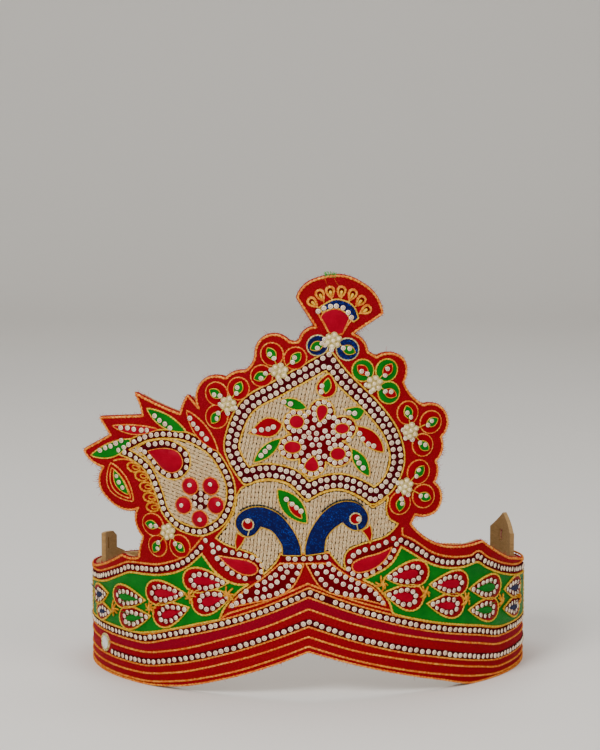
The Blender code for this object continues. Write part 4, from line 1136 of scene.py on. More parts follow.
def drawHeartFlower():
    piece = startPiece("heartFlower")
    hub = heartFlower["hub"]
    ground = lobedLine(hub, heartFlower["ground"])
    addPad(piece, "maroon", [ground], 1.2, 1.75, 0.25)
    layCord("heartCords", ground, 1.6, True, "yellowCord", 0.46)
    spots, drops = [], []
    for u, z, w, h, upright in heartFlower["drops"]:
        if upright:
            shape = dropLine(u, z, h, w, math.degrees(math.atan2(hub[1] - z, hub[0] - u)))
        else:
            shape = ovalLine(u, z, w / 2, h / 2)
        addPad(piece, "magenta", [shape], 1.7, 2.1, 0.3, crowned=0.6, reach=2.2)
        layCord("heartCords", shape, 1.95, True, "yellowCord", 0.26)
        spots += [tuple(p) for p in evenLine(moveLoop(shape, heartFlower["ringGap"]), 2.7, True)]
        drops.append(shape)
    layStones("heartStones", freeSpots(spots, ground, drops), 1.68, 1.1)
    endPiece(piece)


def freeSpots(spots, ground, drops):  # stones round the drops, then in rings and a grid between them
    hub, grid = heartFlower["hub"], heartFlower["grid"]
    for reach in heartFlower["rings"]:
        spots += ovalLine(*hub, reach, reach, 15, 2.8)
    spots.append(hub)
    spots += [(hub[0] + grid * i, hub[1] + grid * k) for k in range(-14, 15) for i in range(-16, 17)]
    spots = np.array(spots)
    free = insideOf(spots, ground)
    for drop in drops:
        free &= (farFrom(spots, drop) > heartFlower["fromDrop"]) & ~insideOf(spots, drop)
    chosen = []
    for spot in spots[free]:
        if all(math.dist(spot, other) > heartFlower["apart"] for other in chosen):
            chosen.append(spot)
    return chosen


heartLeaves = {  # two tips, swell left and right, cloth, stones
    "heartBud": (5.4, 136.6, 7.4, 147.4, 4.3, 4.3, "red", [(4.4, 142), (3.9, 139.4)]),
    "heartLeafGreen1": (-13.6, 135.6, -2.4, 132, 2.4, 2.3, "green", [(-12.2, 134.9), (-9.6, 133.9)]),
    "heartLeafGreen2": (14, 131.4, 23.1, 130.4, 1.5, 4.4, "green", [(18.5, 129.7), (16, 130)]),
    "heartLeafRed1": (-27.8, 120.4, -13.0, 124.8, 4.5, 4.0, "red",
                      [(-25.3, 121.7), (-22.3, 122.4), (-19.3, 122.5), (-16.6, 123.6)]),
    "heartLeafRed2": (19.8, 123.6, 31.8, 111.6, 3.4, 3.2, "red",
                      [(20.6, 120.3), (22.4, 118), (24.9, 115.7), (27.2, 114.4)]),
    "heartLeafGreen3": (-25.6, 107.4, -13.6, 118.4, 2.6, 2.6, "green",
                        [(-22.3, 110.7), (-20.4, 112.5), (-18.8, 114.6)]),
    "heartLeafGreen4": (17.4, 113.8, 25.3, 101, 2.8, 2.8, "green",
                        [(19.4, 109.9), (20.6, 107.2), (22.2, 105)])}
crestLeaves = {
    "crestLeafGreenLow": (-104.8, 105.9, -84.8, 114.4, 2.0, 4.4, "green",
                          [(-100.2, 108.3), (-97.6, 109.6), (-95, 110.7), (-92.3, 112.1), (-89.5, 113.4)]),
    "crestLeafMagenta": (-93.9, 120, -71.8, 119.8, 1.0, 3.2, "magenta",
                         [(-89.4, 119.6), (-86.5, 119.5), (-83.1, 119.1), (-79.6, 119), (-76.9, 119.1)]),
    "crestLeafGreenHigh": (-76.8, 128.8, -57.9, 119.6, 2.3, 3.8, "green",
                           [(-72.9, 125.8), (-70.6, 124), (-67.8, 122.3), (-65.2, 120.9)]),
    "crestLeafRed": (-57.3, 128.9, -42.4, 111.6, 2.8, 3.6, "red",
                     [(-55.7, 125.7), (-54, 123.1), (-52, 120.9), (-49.7, 119), (-47.5, 116.9)]),
    "crestPetal": (-95, 103, -84.4, 86, 3.1, 7.2, "red",
                   [(-92.3, 97.2), (-91, 94.5), (-89.3, 92.1)])}
leafBelly = {"heartLeafRed1": 1.4, "heartLeafGreen2": 1.5, "heartBud": 0.75}  # 1 is fullest halfway
crestArc = [(-93.8, 104.0), (-91.3, 104.8), (-88.7, 105.1), (-86.2, 104.9), (-83.9, 104.1)]  # over the loops
leafStacks = {"heart": (1.15, 0.7, "yellowCord"), "crest": (-0.1, 0.95, "orangeCord")}  # foot, depth, cord
petalLens = {"start": (0.5, -2.2), "end": (-1, 1.4), "left": 0.62,
             "right": 0.66}  # the line inside the crest petal
goldLoops = [(-83.8, 101.6, -14), (-79.9, 97.8, -8), (-77.6, 93.1, -2), (-76, 88.4, 4), (-74.8, 83.9, 6)]


def drawLeaves():
    for group, table in (("heart", heartLeaves), ("crest", crestLeaves)):
        low, depth, cord = leafStacks[group]
        high = low + depth
        for name, (u0, z0, u1, z1, left, right, cloth, stones) in table.items():
            piece = startPiece(name)
            shape = leafLine(u0, z0, u1, z1, left, right, leafBelly.get(name, 1.0))
            addPad(piece, cloth, [shape], low, high, 0.3, crowned=0.35, reach=1.8)
            rim = "yellowCord" if cloth == "green" else cord
            layCord(group + "Cords", shape, high - 0.25, True, rim, 0.4)
            layStones(group + "Stones", stones, high + 0.12, 1.1)
            if name in ("heartBud", "crestPetal"):
                du, dz = (u1 - u0) * 0.18, (z1 - z0) * 0.18
                small = leafLine(u0 + du, z0 + dz, u1 - du, z1 - dz, left * 0.42, right * 0.42)
                addPad(piece, "green", [small], high - 0.1, high + 0.5, 0.25)
                layCord(group + "Cords", small, high + 0.3, True, "yellowCord", 0.26)
            if name == "crestPetal":
                (du, dz), (eu, ez) = petalLens["start"], petalLens["end"]
                line = leafLine(u0 + du, z0 + dz, u1 + eu, z1 + ez, left * petalLens["left"],
                                right * petalLens["right"])
                layCord(group + "Cords", line, high + 0.1, True, "orangeCord", 0.3)
            endPiece(piece)
    layCord("crestCords", smoothLine(crestArc), 0.3, False, "orangeCord", 0.42, True)
    for u, z, tilt in goldLoops:
        layCord("crestCords", ovalLine(u, z, 3.2, 2.1, tilt), 0.3, True, "knot", 0.46, True)
        layCord("crestCords", ovalLine(u + 0.9, z, 1.6, 0.9, tilt), 0.3, True, "knot", 0.3, True)


def drawPaisley():
    path = closedLine(paisley["path"])
    half = paisley["borderHalf"]
    border = [moveLoop(path, half), moveLoop(path, -half)]
    padPiece("paisleyBorder", "stone_channel", "channel", border, -0.1, 0.8, 0.25)
    stoneLine("paisleyStones", path, 0.72, True)
    layCord("paisleyCords", moveLoop(path, paisley["outerLine"]), 0.35, True, "yellowCord", 0.42)
    layCord("paisleyCords", moveLoop(path, paisley["innerLine"]), 0.95, True, "yellowCord", 0.42)
    addField("paisleyField", moveLoop(path, paisley["fieldEdge"]), paisley["threads"])
    drop = closedLine(paisley["drop"])
    piece = startPiece("paisleyDrop")
    ring = moveLoop(closedLine([paisley["dropStones"] + paisley["dropStones"][:1]]), paisley["ringHalf"])
    addPad(piece, "channel", [ring], 1.15, 1.5, 0.2)
    addPad(piece, "magenta", [drop], 1.45, 1.95, 0.35, 3.0, 3.0, crowned=0.8, reach=4.0)
    endPiece(piece)
    layCord("paisleyCords", moveLoop(ring, 0.3), 1.3, True, "yellowCord", 0.4)
    layCord("paisleyCords", drop, 1.75, True, "orangeCord", 0.24)
    layStones("paisleyStones", paisley["dropStones"], 1.42, 1.1)
    drawBalls()


def drawBalls():
    piece = startPiece("paisleyBalls")
    radius = paisley["ballRadius"]
    for spot in paisley["balls"]:
        ball = ovalLine(*spot, radius, radius)
        addPad(piece, "magenta", [ball], 1.15, 1.75, 0.4, 1.3, 1.3, crowned=1.5, reach=radius)
        layCord("paisleyCords", ball, 1.5, True, "orangeCord", 0.34)
    layStones("paisleyStones", paisley["ballStones"], 2.95, 0.95)
    addPad(piece, "channel", [ovalLine(*paisley["centre"])], 1.15, 1.6, 0.25)
    layStones("paisleyStones", paisley["centreStones"], 1.52, 1.1)
    endPiece(piece)


drawHeart()
drawLeaves()
drawPaisley()
print("heart, leaves and paisley drawn")


# Two peacocks, back to back on one field
peacocks = {
    "collarLine": [(-14.4, 66.1), (-3.6, 66.2), (7.6, 66.8)],
    "field": [
        [(-33.4, 92.5), (-30.8, 95.9), (-24.5, 98.5), (-17.5, 99.4), (-10, 97.2), (-2.4, 90)],
        [(4.5, 93.8), (12.5, 95.1), (20, 92), (27.2, 86.6)],
        [(31.5, 89), (34.2, 91), (33.3, 86), (34.8, 81.3), (39, 78.6)],
        [(35.8, 75.2), (32, 72.9), (27, 71.6), (20, 69.7), (15.6, 67.2),
         (14.2, 63), (15.2, 58.8)],
        [(12.3, 61), (9.4, 64.6), (7.5, 67.2)],
        [(-3, 66.6), (-14, 66.4)],
        [(-15.6, 63), (-18.2, 59.8), (-21.6, 56.6)],
        [(-22, 60.5), (-25, 65), (-31, 67.5), (-38.5, 69.4), (-43.5, 72.2)],
        [(-38.2, 78.6), (-34.8, 85), (-33.4, 92.5)]],
    "neckLeft": [
        [(-4.9, 66), (-5.5, 70.5), (-8.2, 76.6), (-13.2, 83), (-18.9, 86.4), (-24.1, 87.2), (-29.3, 85.8),
         (-33, 82.6), (-33.7, 78.4), (-31.2, 75), (-28.2, 73.9), (-25.3, 75.2), (-22.7, 78.6)],
        [(-17.9, 76.9), (-14.8, 73.3), (-12.9, 69.7), (-12.8, 66)],
        [(-4.9, 66)]],
    "neckRight": [
        [(5.3, 67.2), (6.1, 73.4), (9.1, 77.6), (13.5, 80.8)],
        [(15.3, 78.9), (18.9, 77), (22.8, 77.8), (24.7, 81.6), (23.6, 85.6), (19.9, 88.9),
         (14.2, 89.8), (8.6, 87.9), (3.5, 83.3), (-0.6, 76.6), (-2.6, 70.3), (-2.8, 66)],
        [(5.3, 67.2)]],
    "collar": [[(-13.6, 62.9), (-13.4, 65.6)], [(-3.5, 65.8), (6.6, 66.2)],
               [(6.8, 63.2)], [(-3.5, 62.9), (-13.6, 62.9)]],
    "tailLeft": [
        [(-14, 61.9), (-18.5, 58), (-22.4, 54.6), (-27.4, 51), (-32.5, 46.9), (-37.6, 40.9)],
        [(-30.5, 42.6), (-24.5, 44.2), (-18, 45.6), (-10.6, 49.6), (-6.7, 54.2),
         (-3.5, 61.9)],
        [(-14, 61.9)]],
    "tailRight": [
        [(-2.6, 61.9), (-0.6, 58), (1.5, 54.2), (4.6, 50.4), (9.5, 48), (17.5, 46), (24, 44.8), (33.4, 41.8)],
        [(31, 46.2), (27, 50.4), (21, 53.6), (15.2, 56.6), (10.7, 60), (8.6, 61.9)],
        [(-2.6, 61.9)]],
    "wingLeft": [
        [(-42, 64.2), (-35.5, 63.5), (-29.1, 62.9), (-25, 61), (-24.1, 58.6), (-25.6, 56.8),
         (-28.8, 56.2), (-32.7, 57.1), (-38, 60.4), (-42, 64.2)]],
    "wingRight": [
        [(36, 68.2), (30, 65.8), (23.1, 64.2), (18.6, 62.2), (17.9, 59.7), (19.2, 58), (21.8, 57.6),
         (26.8, 58.7), (31.2, 61.3), (34, 64.4), (36, 68.2)]],
    "eyes": [(-28.1, 79.5, 0.0, 1.6), (19, 82.3, 1.2, -0.1)],  # u, z, then the stone's shift
    "eyeRadius": 2.5, "wingEdge": 2.6, "threads": 84}
peacockStones = {
    "collar": [(-10.5, 64.2), (-7.3, 64.2), (-3.9, 64.3), (-0.4, 64.5), (3, 64.6), (6, 64.8)],
    "tailLeft": [
        (-13.9, 59.4), (-16.2, 56.8), (-18.4, 55.2), (-21.1, 53.4), (-24.3, 51.6), (-29.4, 48.6),
        (-32.1, 46.4), (-11.1, 58.1), (-12.9, 55.7), (-15.4, 53.5), (-18.1, 51.7), (-21, 50.2),
        (-24.3, 48.6), (-5.6, 60.7), (-6.9, 57.4), (-8.5, 54.4), (-10.5, 51.7), (-12.9, 49.5),
        (-15.6, 48), (-18.6, 47), (-21.6, 46.3), (-24.7, 45.5), (-27.8, 44.8), (-30.9, 44),
        (-33.8, 43.1), (-35.9, 41.9), (-11.7, 61.1), (-8.7, 60.7)],
    "tailRight": [
        (1, 60.7), (2.3, 57.4), (4, 54.7), (5.8, 52.3), (8.5, 50.1), (11.4, 48.7), (14.5, 47.9),
        (17.6, 47.3), (20.9, 46.8), (24.1, 46), (4.1, 60.7), (6.3, 58.4), (8.5, 55.9), (11, 53.9),
        (13.9, 52.4), (17, 51.2), (20.3, 49.9), (7.4, 61.5), (9.6, 59.2), (12.2, 57.2), (15, 55.6),
        (17.8, 54.2), (20.6, 52.7), (23.3, 51.2), (25.9, 49.2), (28.4, 47.3), (30.2, 45.1), (32.2, 43)],
    "wingLeft": [
        (-48.3, 70.4), (-45.2, 68.9), (-42.1, 67.9), (-39.1, 66.8), (-35.9, 65.9), (-32.6, 65.3),
        (-29.5, 65), (-26.6, 64.4), (-23.9, 63.3), (-22.3, 60.9), (-22.2, 58), (-23.9, 55.4),
        (-44.6, 65.8), (-42.6, 63), (-40.4, 60.7), (-38.2, 58.6), (-35.6, 56.7), (-32.8, 55.3), (-29.9,
                                                                                                 54.5)],
    "wingRight": [
        (16.6, 62.6), (18.2, 65.1), (20.9, 66.8), (24.1, 67.8), (27.2, 68.6), (30.2, 69.4), (33.3, 70.4),
        (36.5, 71.9), (16.4, 59.6), (18.2, 57), (21.2, 55.9), (24.3, 56.3), (27.3, 57.5), (30.2, 59.1),
        (33, 61.2), (35.4, 63.7), (37, 66.4), (38.3, 69.3)]}
stitches = {"left": [(-31.5, 85.7), (-27, 87.8), (-21.5, 88), (-16, 86.1), (-11.5, 82.6)],
            "right": [(4.6, 85.9), (8.2, 88.7), (13, 90.6), (18.5, 90.3),
                      (22, 88.2)], "pitch": 1.55, "half": 0.5}
beaks = {
    "peacockBeakLeft": [[(-33, 75.4), (-33.9, 71.6), (-33.6, 67.1)], [(-31.2, 70.2), (-29.4, 73.6)],
                        [(-31.2, 74.1), (-33, 75.4)]],
    "peacockBeakRight": [[(22, 76.6), (24, 74.2), (25.8, 70.6)], [(26.5, 75), (25.7, 79.2)],
                         [(24, 77.7), (22, 76.6)]]}
peacockLeaf = {"shape": (-15, 95.6, -2.3, 80.4, 4.5, 4.5), "stones": [(-11.2, 91.3), (-8.6, 89),
                                                                      (-6.8, 87.5), (-4.7, 86)],
               "small": (-10.4, 90.2, -4.4, 82.6, 1.6, 1.8)}


def drawPeacocks():
    field = closedLine(peacocks["field"])
    addField("peacockField", field, peacocks["threads"])
    layCord("peacockCords", field, 0.85, True, "yellowCord", 0.42)
    for side in ("Left", "Right"):
        neck = closedLine(peacocks["neck" + side], 0.8)
        padPiece("peacockNeck" + side, "blue_sequin_cloth", "glitter", [neck], 1.1, 1.9, 0.35, 2.5, 2.5,
                 crowned=0.55, reach=3.0)
        layCord("peacockCords", moveLoop(neck, 0.35), 1.35, True, "yellowCord", 0.26)
        tail = closedLine(peacocks["tail" + side])
        padPiece("peacockTail" + side, "maroon_cloth", "maroon", [tail], -0.1, 0.8, 0.25)
        layCord("peacockCords", tail, 0.65, True, "orangeCord", 0.42)
        wing = closedLine(peacocks["wing" + side])
        piece = startPiece("wingDrop" + side)
        addPad(piece, "maroon", [moveLoop(wing, peacocks["wingEdge"])], -0.1, 0.75, 0.25)
        addPad(piece, "magenta", [wing], 0.7, 1.3, 0.4, 2.5, 2.5, crowned=0.8, reach=3.5)
        endPiece(piece)
        layCord("peacockCords", wing, 1.1, True, "orangeCord", 0.4)
        layStones("peacockStones", peacockStones["wing" + side], 0.68, 1.1)
        layStones("peacockStones", peacockStones["tail" + side], 0.72, 1.1)
    padPiece("peacockCollar", "maroon_cloth", "maroon", [closedLine(peacocks["collar"])], -0.1, 0.9, 0.25)
    layStones("peacockStones", peacockStones["collar"], 0.82, 1.1)
    layCord("peacockCords", smoothLine(peacocks["collarLine"]), 0.95, False, "orangeCord", 0.34)
    drawEyes()
    for name, stretches in beaks.items():
        shape = closedLine(stretches, 0.7)
        padPiece(name, "red_satin", "red", [shape], 1.1, 1.9, 0.2, crowned=0.3, reach=1.0)
        layCord("peacockCords", shape, 1.75, True, "yellowCord", 0.3)
    drawPeacockLeaf()
    drawStitches()


def drawEyes():
    radius = peacocks["eyeRadius"]
    piece = startPiece("peacockEyes")
    for u, z, du, dz in peacocks["eyes"]:
        eye = ovalLine(u, z, radius, radius)
        addPad(piece, "red", [eye], 2.2, 2.75, 0.25, crowned=0.3, reach=1.6)
        layCord("peacockCords", eye, 2.6, True, "paleCord", 0.32)
        tear = [(u + 0.6, z - radius), (u - 0.1 + du, z - radius - 2.6)]
        layCord("peacockCords", tear, 2.5, False, "paleCord", 0.26)
        layStones("peacockStones", [(u + du, z + dz)], 2.85, 1.1)
    endPiece(piece, False)


def drawPeacockLeaf():
    piece = startPiece("peacockLeaf")
    shape, small = leafLine(*peacockLeaf["shape"]), leafLine(*peacockLeaf["small"])
    addPad(piece, "green", [shape], 1.1, 1.85, 0.3, crowned=0.4)
    addPad(piece, "red", [small], 1.9, 2.5, 0.25)
    endPiece(piece)
    layCord("peacockCords", shape, 1.65, True, "yellowCord", 0.4)
    layCord("peacockCords", small, 2.35, True, "yellowCord", 0.26)
    layStones("peacockStones", peacockLeaf["stones"], 2.3, 1.1)


def drawStitches():  # short black stitches across the tops of the necks
    piece = startPiece("neckStitches")
    runs, half = [], stitches["half"]
    for side in ("left", "right"):
        line = evenLine(smoothLine(stitches[side]), stitches["pitch"])
        for (u, z), (nu, nz) in zip(line, leftNormals(line, False)):
            rows = [(u - nz * half, z + nu * half, 1.55), (u, z, 1.85), (u + nz * half, z - nu * half, 1.5)]
            runs.append((np.array(rows), False))
    addCords(piece, "blackThread", runs, 0.42, 0.3, 0.05, 6)
    endPiece(piece, False)


# Fan finial
fan = {
    "dome": [[(7.3, 165.6), (5.7, 169.1), (3.9, 172.1)],
             [(4.7, 173.8), (7.1, 175.4), (10.2, 175.8), (13, 175.1), (15.4, 173.3), (16.2, 171.3)],
             [(14.8, 168.2), (13.4, 164.9)], [(10.4, 164.6), (7.3, 165.6)]],
    "crescent": [
        [(3.2, 176.6), (9.7, 180), (15.2, 179), (18.7, 176.2), (20.4, 171.6)],
        [(18.2, 170)],
        [(14.4, 174.4), (10.2, 176.2), (4.4, 174.4)],
        [(3.2, 176.6)]],
    "hub": (11.0, 168.2),
    "petals": [(0.4, 178.6), (3.7, 181.8), (8, 183.1), (12.8, 183.1), (17.5, 181.8), (21.2, 179),
               (23.5, 175.1)],
    "stones": [(2.7, 174.8), (5.1, 176.3), (7.8, 177.4), (10.7, 177.5), (13.5, 176.3), (15.7, 174.2),
               (17.3, 171.8)],
    "sides": [[(1.9, 175), (4, 171.5), (7.1, 165.7)], [(17.8, 171.4), (15.4, 168.2), (13, 164.2)]],
    "strays": [[(5.6, 189.3), (6.2, 187.6), (6.7, 186.2)], [(9.8, 189.3), (10.7, 187.4), (12, 185.8)]]}


def drawFan():
    dome, crescent = closedLine(fan["dome"], 0.8), closedLine(fan["crescent"], 0.8)
    padPiece("fanDome", "magenta_satin", "magenta", [dome], -0.1, 0.85, 0.3, 2.5, 2.5, crowned=0.8, reach=4.0)
    layCord("fanCords", dome, 0.6, True, "orangeCord", 0.36)
    padPiece("fanCrescent", "blue_sequin_cloth", "glitter", [crescent], -0.1, 0.85, 0.3, crowned=0.3)
    layCord("fanCords", crescent, 0.65, True, "yellowCord", 0.38)
    layStones("fanStones", fan["stones"], 0.95, 1.1)
    piece = startPiece("fanPetals")
    for u, z in fan["petals"]:
        addFanPetal(piece, u, z)
    endPiece(piece)
    for side in fan["sides"]:
        layCord("fanCords", smoothLine(side), 0.3, False, "orangeCord", 0.42, True)
    for stray in fan["strays"]:
        layCord("fanCords", smoothLine(stray), 0.25, False, "orangeCord", 0.2)
    drawTuft()


def addFanPetal(piece, u, z):  # a thread loop round a yellow core, with maroon cloth in the gap between them as painted shade
    a = math.atan2(z - fan["hub"][1], u - fan["hub"][0])
    tilt = math.degrees(a) + 180

    def along(reach):  # a spot on the petal's middle line, measured outward
        return (u + reach * math.cos(a), z + reach * math.sin(a))

    shape = dropLine(u, z, 5.5, 3.8, tilt, 0.7)
    addPad(piece, "knot", [shape], -0.1, 0.75, 0.3, crowned=0.2, reach=1.5)
    layCord("fanCords", shape, 0.55, True, "orangeCord", 0.36)
    # painted shade: maroon cloth fills the gap inside the loop
    addPad(piece, "maroon", [dropLine(*along(0.25), 3.7, 2.3, tilt, 0.5)], 0.8, 1.0, 0.05)
    addPad(piece, "yellowCord", [dropLine(*along(-0.3), 2.5, 1.2, tilt, 0.5)], 0.95, 1.35, 0.1)
    layCord("fanCords", [along(-2.4), along(-3.3)], 0.5, False, "yellowCord", 0.34)


tuft = {"u": 8.0, "z": 190.4, "threads": 16, "side": 2.4, "lean": 1.2, "rise": (0.9, 2.2), "end": (-0.4, 0.9),
        "radius": 0.24}


def drawTuft():  # loose green thread ends at the very top
    u, z = tuft["u"], tuft["z"]
    runs = []
    for k in range(tuft["threads"]):
        side = float(dice.uniform(-tuft["side"], tuft["side"]))
        lean = float(dice.uniform(-tuft["lean"], tuft["lean"]))
        rise = float(dice.uniform(*tuft["rise"]))
        rows = [(u + side, z - 0.6, 0.2), (u + side + lean * 0.4, z + rise * 0.6, 0.5 + abs(lean) * 0.3),
                (u + side + lean, z + rise, float(dice.uniform(*tuft["end"])))]
        runs.append((np.array(rows), False, (1.0, 0.45)))
    piece = startPiece("threadTuft")
    addCords(piece, "greenThread", runs, tuft["radius"], 0.5, 0.0, 5)
    endPiece(piece, False)


# Flowers
flowers = {  # cloth, hub, petals (centre u, z, half width, half height), the white stones round the hub
    "flowerTopLeft": ("red", (-14.2, 148.2), [(-17.7, 155.9, 5.0, 4.9), (-7.2, 154.2, 5.0, 4.7),
                                              (-22.4, 146, 5.2, 4.3)],
                      [(-18, 148.6), (-14.5, 144.3), (-10.9, 145)]),
    "flowerUpperLeft": ("red", (-37.4, 132.9), [(-43, 137.4, 5.2, 5.1), (-32.6, 140.2, 4.9, 4.8),
                                                (-43, 126.9, 5.6, 4.7)],
                        [(-41.2, 132.6), (-37.5, 128.9), (-33.8, 131.4)]),
    "flowerUpperRight": ("green", (27.6, 142.3), [(22.4, 148.5, 4.8, 4.8), (33.5, 148.2, 4.9, 4.9),
                                                  (34.6, 137.9, 5.2, 4.6)],
                         [(23.8, 141.9), (26.2, 138.6)]),
    "flowerRight": ("red", (44.8, 120.4), [(43.4, 128.7, 5.0, 5.0), (55, 123.7, 5.3, 4.8),
                                           (51, 113.4, 5.0, 4.9)],
                    [(41, 120.9), (42.1, 117.2), (45.5, 116.4)]),
    "flowerLowerRight": ("red", (42.3, 95.5), [(49, 101.6, 5.5, 5.1), (51.6, 90.2, 5.4, 5.1),
                                               (39.9, 87.8, 5.0, 4.9)],
                         [(38.9, 97.4), (38.7, 93.6), (43.6, 91.6)]),
    "flowerLowerLeft": ("red", (-67.2, 73.2), [(-75.3, 75.8, 5.3, 5.1), (-73.4, 65.8, 5.1, 4.6),
                                               (-61.3, 66.8, 5.3, 4.9)],
                        []),
    "flowerFan": ("glitter", (9.2, 161.9), [(2.2, 159.7, 4.6, 4.4), (15.8, 157.8, 4.8, 4.9)],
                  [(5.3, 162.6), (5.6, 159.8), (8.6, 157.9)])}
petalLook = {  # inner cloth, the cord round the petal and the one round the inner cloth
    "red": ("green", "orangeCord", "yellowCord"), "green": ("red", "yellowCord", "orangeCord"),
    "glitter": ("green", "paleCord", "yellowCord")}
rosette = {"reach": 2.55, "beads": 6, "bead": 1.22, "low": 0.85}
rosetteBeads = []


def addPetal(piece, hub, oval, cloth):
    inner, cord, innerCord = petalLook[cloth]
    u, z, w, h = oval
    a = math.atan2(z - hub[1], u - hub[0])

    def place(along, aside):  # a spot measured away from the hub and to the left
        return (u + along * math.cos(a) - aside * math.sin(a), z + along * math.sin(a) + aside * math.cos(a))

    radius = (w + h) / 2 - 0.05
    shape = ovalLine(*place(-0.2, 0), radius + 0.2, radius, math.degrees(a))
    addPad(piece, cloth, [shape], -0.1, 0.8, 0.3, crowned=0.4, reach=1.8)
    layCord("flowerCords", shape, 0.5, True, cord, 0.4)
    drop = leafLine(*place(3.3, 0.5), *place(-3.0, -0.3), 2.1, 1.9, spacing=0.7)
    addPad(piece, inner, [drop], 1.0, 1.65, 0.2, crowned=0.2, reach=1.2)
    layCord("flowerCords", drop, 1.45, True, innerCord, 0.24)
    stem = [place(-2.6, 0), place(3.2 - math.dist(hub, (u, z)), 0)]
    layCord("flowerCords", stem, 1.15, False, "yellowCord", 0.24)
    layStones("flowerStones", [place(0.1, 0.7), place(-2.2, -0.5)], 1.5, 1.05)


def addRosette(hub):
    places = [hub]
    for k in range(rosette["beads"]):
        a = math.tau * (k + 0.3) / rosette["beads"]
        places.append((hub[0] + rosette["reach"] * math.cos(a), hub[1] + rosette["reach"] * math.sin(a)))
    for spot in places:
        rosetteBeads.append((*spot, rosette["low"] + 0.35, rosette["bead"] * 0.84))
        rim = ovalLine(*spot, rosette["bead"], rosette["bead"], 0, 0.5)
        layCord("rosetteCords", rim, rosette["low"] + 0.3, True, "paleCord", 0.27)


def drawFlowers():
    for name, (cloth, hub, ovals, stones) in flowers.items():
        piece = startPiece(name)
        for oval in ovals:
            addPetal(piece, hub, oval, cloth)
        addPad(piece, "maroon", [ovalLine(*hub, 2.6, 2.6)], -0.1, rosette["low"] + 0.2, 0.25)
        endPiece(piece)
        addRosette(hub)
        layStones("flowerStones", stones, 0.9, 1.05)
    piece = startPiece("rosetteBeads")
    addTiles(piece, ["paleBead"], domeTemplate(), rosetteBeads, 0.05)
    endPiece(piece, False)


drawPeacocks()
drawFan()
drawFlowers()
print("peacocks, fan and flowers drawn")


# Tie tabs behind the band
tabs = {
    "Right": [(146, 14), (176, 14), (176, 57.5), (163, 66), (150, 58.5), (146, 58.5)],
    "Left": [(-146, 14), (-146, 59.5), (-165.5, 57.2), (-169.5, 54.7), (-169.5, 48.8), (-177, 46),
             (-174, 14)],
    "slitRight": [(163.5, 51.5), (167.5, 51.5), (167.5, 57.5), (163.5, 57.5)],
    "slitLeft": [(-155.5, 50), (-155.5, 55.5), (-158.5, 55.5), (-158.5, 50)]}


slitThread = {"u": 163.9, "swing": 0.35, "threads": 5, "z": (57.8, 54.5, 51.6), "radius": 0.28}


def cornered(corners):  # straight sides between the corners
    return closedLine([corners[:2]] + [[corner] for corner in corners[2:] + corners[:1]], 2.0)


def drawTabs():
    low = sheets["tabLow"]
    for side in ("Left", "Right"):
        shape = [cornered(tabs[side]), cornered(tabs["slit" + side])]
        padPiece("tieTab" + side, "kraft_board", "board", shape, low, sheets["tabHigh"], 0.2, 3.0, 4.0)
    runs, (top, middle, foot) = [], slitThread["z"]
    for k in range(slitThread["threads"]):
        u = slitThread["u"] + slitThread["swing"] * math.sin(k * 2.1)
        rows = [(u, top - k * 0.2, low - 0.2), (u + 0.5, middle, low - 0.4),
                (u - 0.2, foot + k * 0.3, low + 0.4)]
        runs.append((np.array(rows), False, (1.0, 0.6)))
    piece = startPiece("slitThread")
    addCords(piece, "pinkThread", runs, slitThread["radius"], 0.6, 0.05, 6)
    endPiece(piece, False)


# Stones, cords, then the velvet that the cords press down
def buildStones():
    template = stoneTemplate()
    for group, rows in stoneRows.items():
        piece = startPiece(group)
        addTiles(piece, ["stone", "stoneSeat", "stoneRing"], template, rows)
        endPiece(piece, False, 12.0)
    print("stones:", sum(len(rows) for rows in stoneRows.values()))


def buildCords():
    total = 0
    for group, laid in cordRuns.items():
        piece = startPiece(group)
        for finish, radius in sorted({(f, r) for _, _, f, r in laid}):
            runs = [(rows, closed) for rows, closed, f, r in laid if (f, r) == (finish, radius)]
            addCords(piece, finish, runs, radius, max(0.42, radius * 1.15), turnLength=radius * 7)
        total += sum(len(rows) for rows, _, _, _ in laid)
        endPiece(piece, False)
    print("cord points:", total)


def buildSheets():
    board = [(u, max(z, 0.0)) for u, z in moveLoop(outline, -sheets["boardInset"], 2.2)]
    padPiece("backingBoard", "kraft_board", "board", [board], sheets["boardLow"], sheets["boardHigh"], 0.15,
             4.0,
             sheets["boardRow"])
    piece = startPiece("velvetFacing")
    shape = [(u, max(z, 0.15)) for u, z in outline]
    addPad(piece, "velvet", [shape], sheets["velvetLow"], 0.0, 0.45, sheets["cell"], sheets["velvetRow"])
    pressVelvet(piece["mesh"])
    return endPiece(piece)


def pressVelvet(cloth):
    lines = np.vstack([evenLine(path, 1.0) for path in onVelvet])
    tree = kdtree.KDTree(len(lines))
    for k, (u, z) in enumerate(lines):
        tree.insert((u, z, 0), k)
    tree.balance()
    for vert in cloth.verts:
        if vert.co.z > -0.01:  # the face, not the back
            far = tree.find((vert.co.x, vert.co.y, 0))[2]
            share = min(far / sheets["puffReach"], 1.0)
            vert.co.z += sheets["puff"] * math.sin(share * math.pi / 2)


frays = [(59, 110, 16, 1.5), (60, 92, 8, 1.0), (-101, 94, 9, 1.5), (21, 167, 6, 1.2), (-4, 168, 6, 1.0),
         (49, 82, 5, 1.6), (-104, 104, 6, 0.8)]  # where the edge is worn: u, z, reach along it, extra length


fibres = {"rearU": 60, "rearZ": 6, "least": 2, "worn": 2, "shape": 2.0, "scale": 0.30, "wornScale": 0.22,
          "reach": 0.3, "lean": 0.7, "low": (-0.9, -0.1), "rise": (-0.5, 0.7), "root": 0.5, "radius": 0.11}


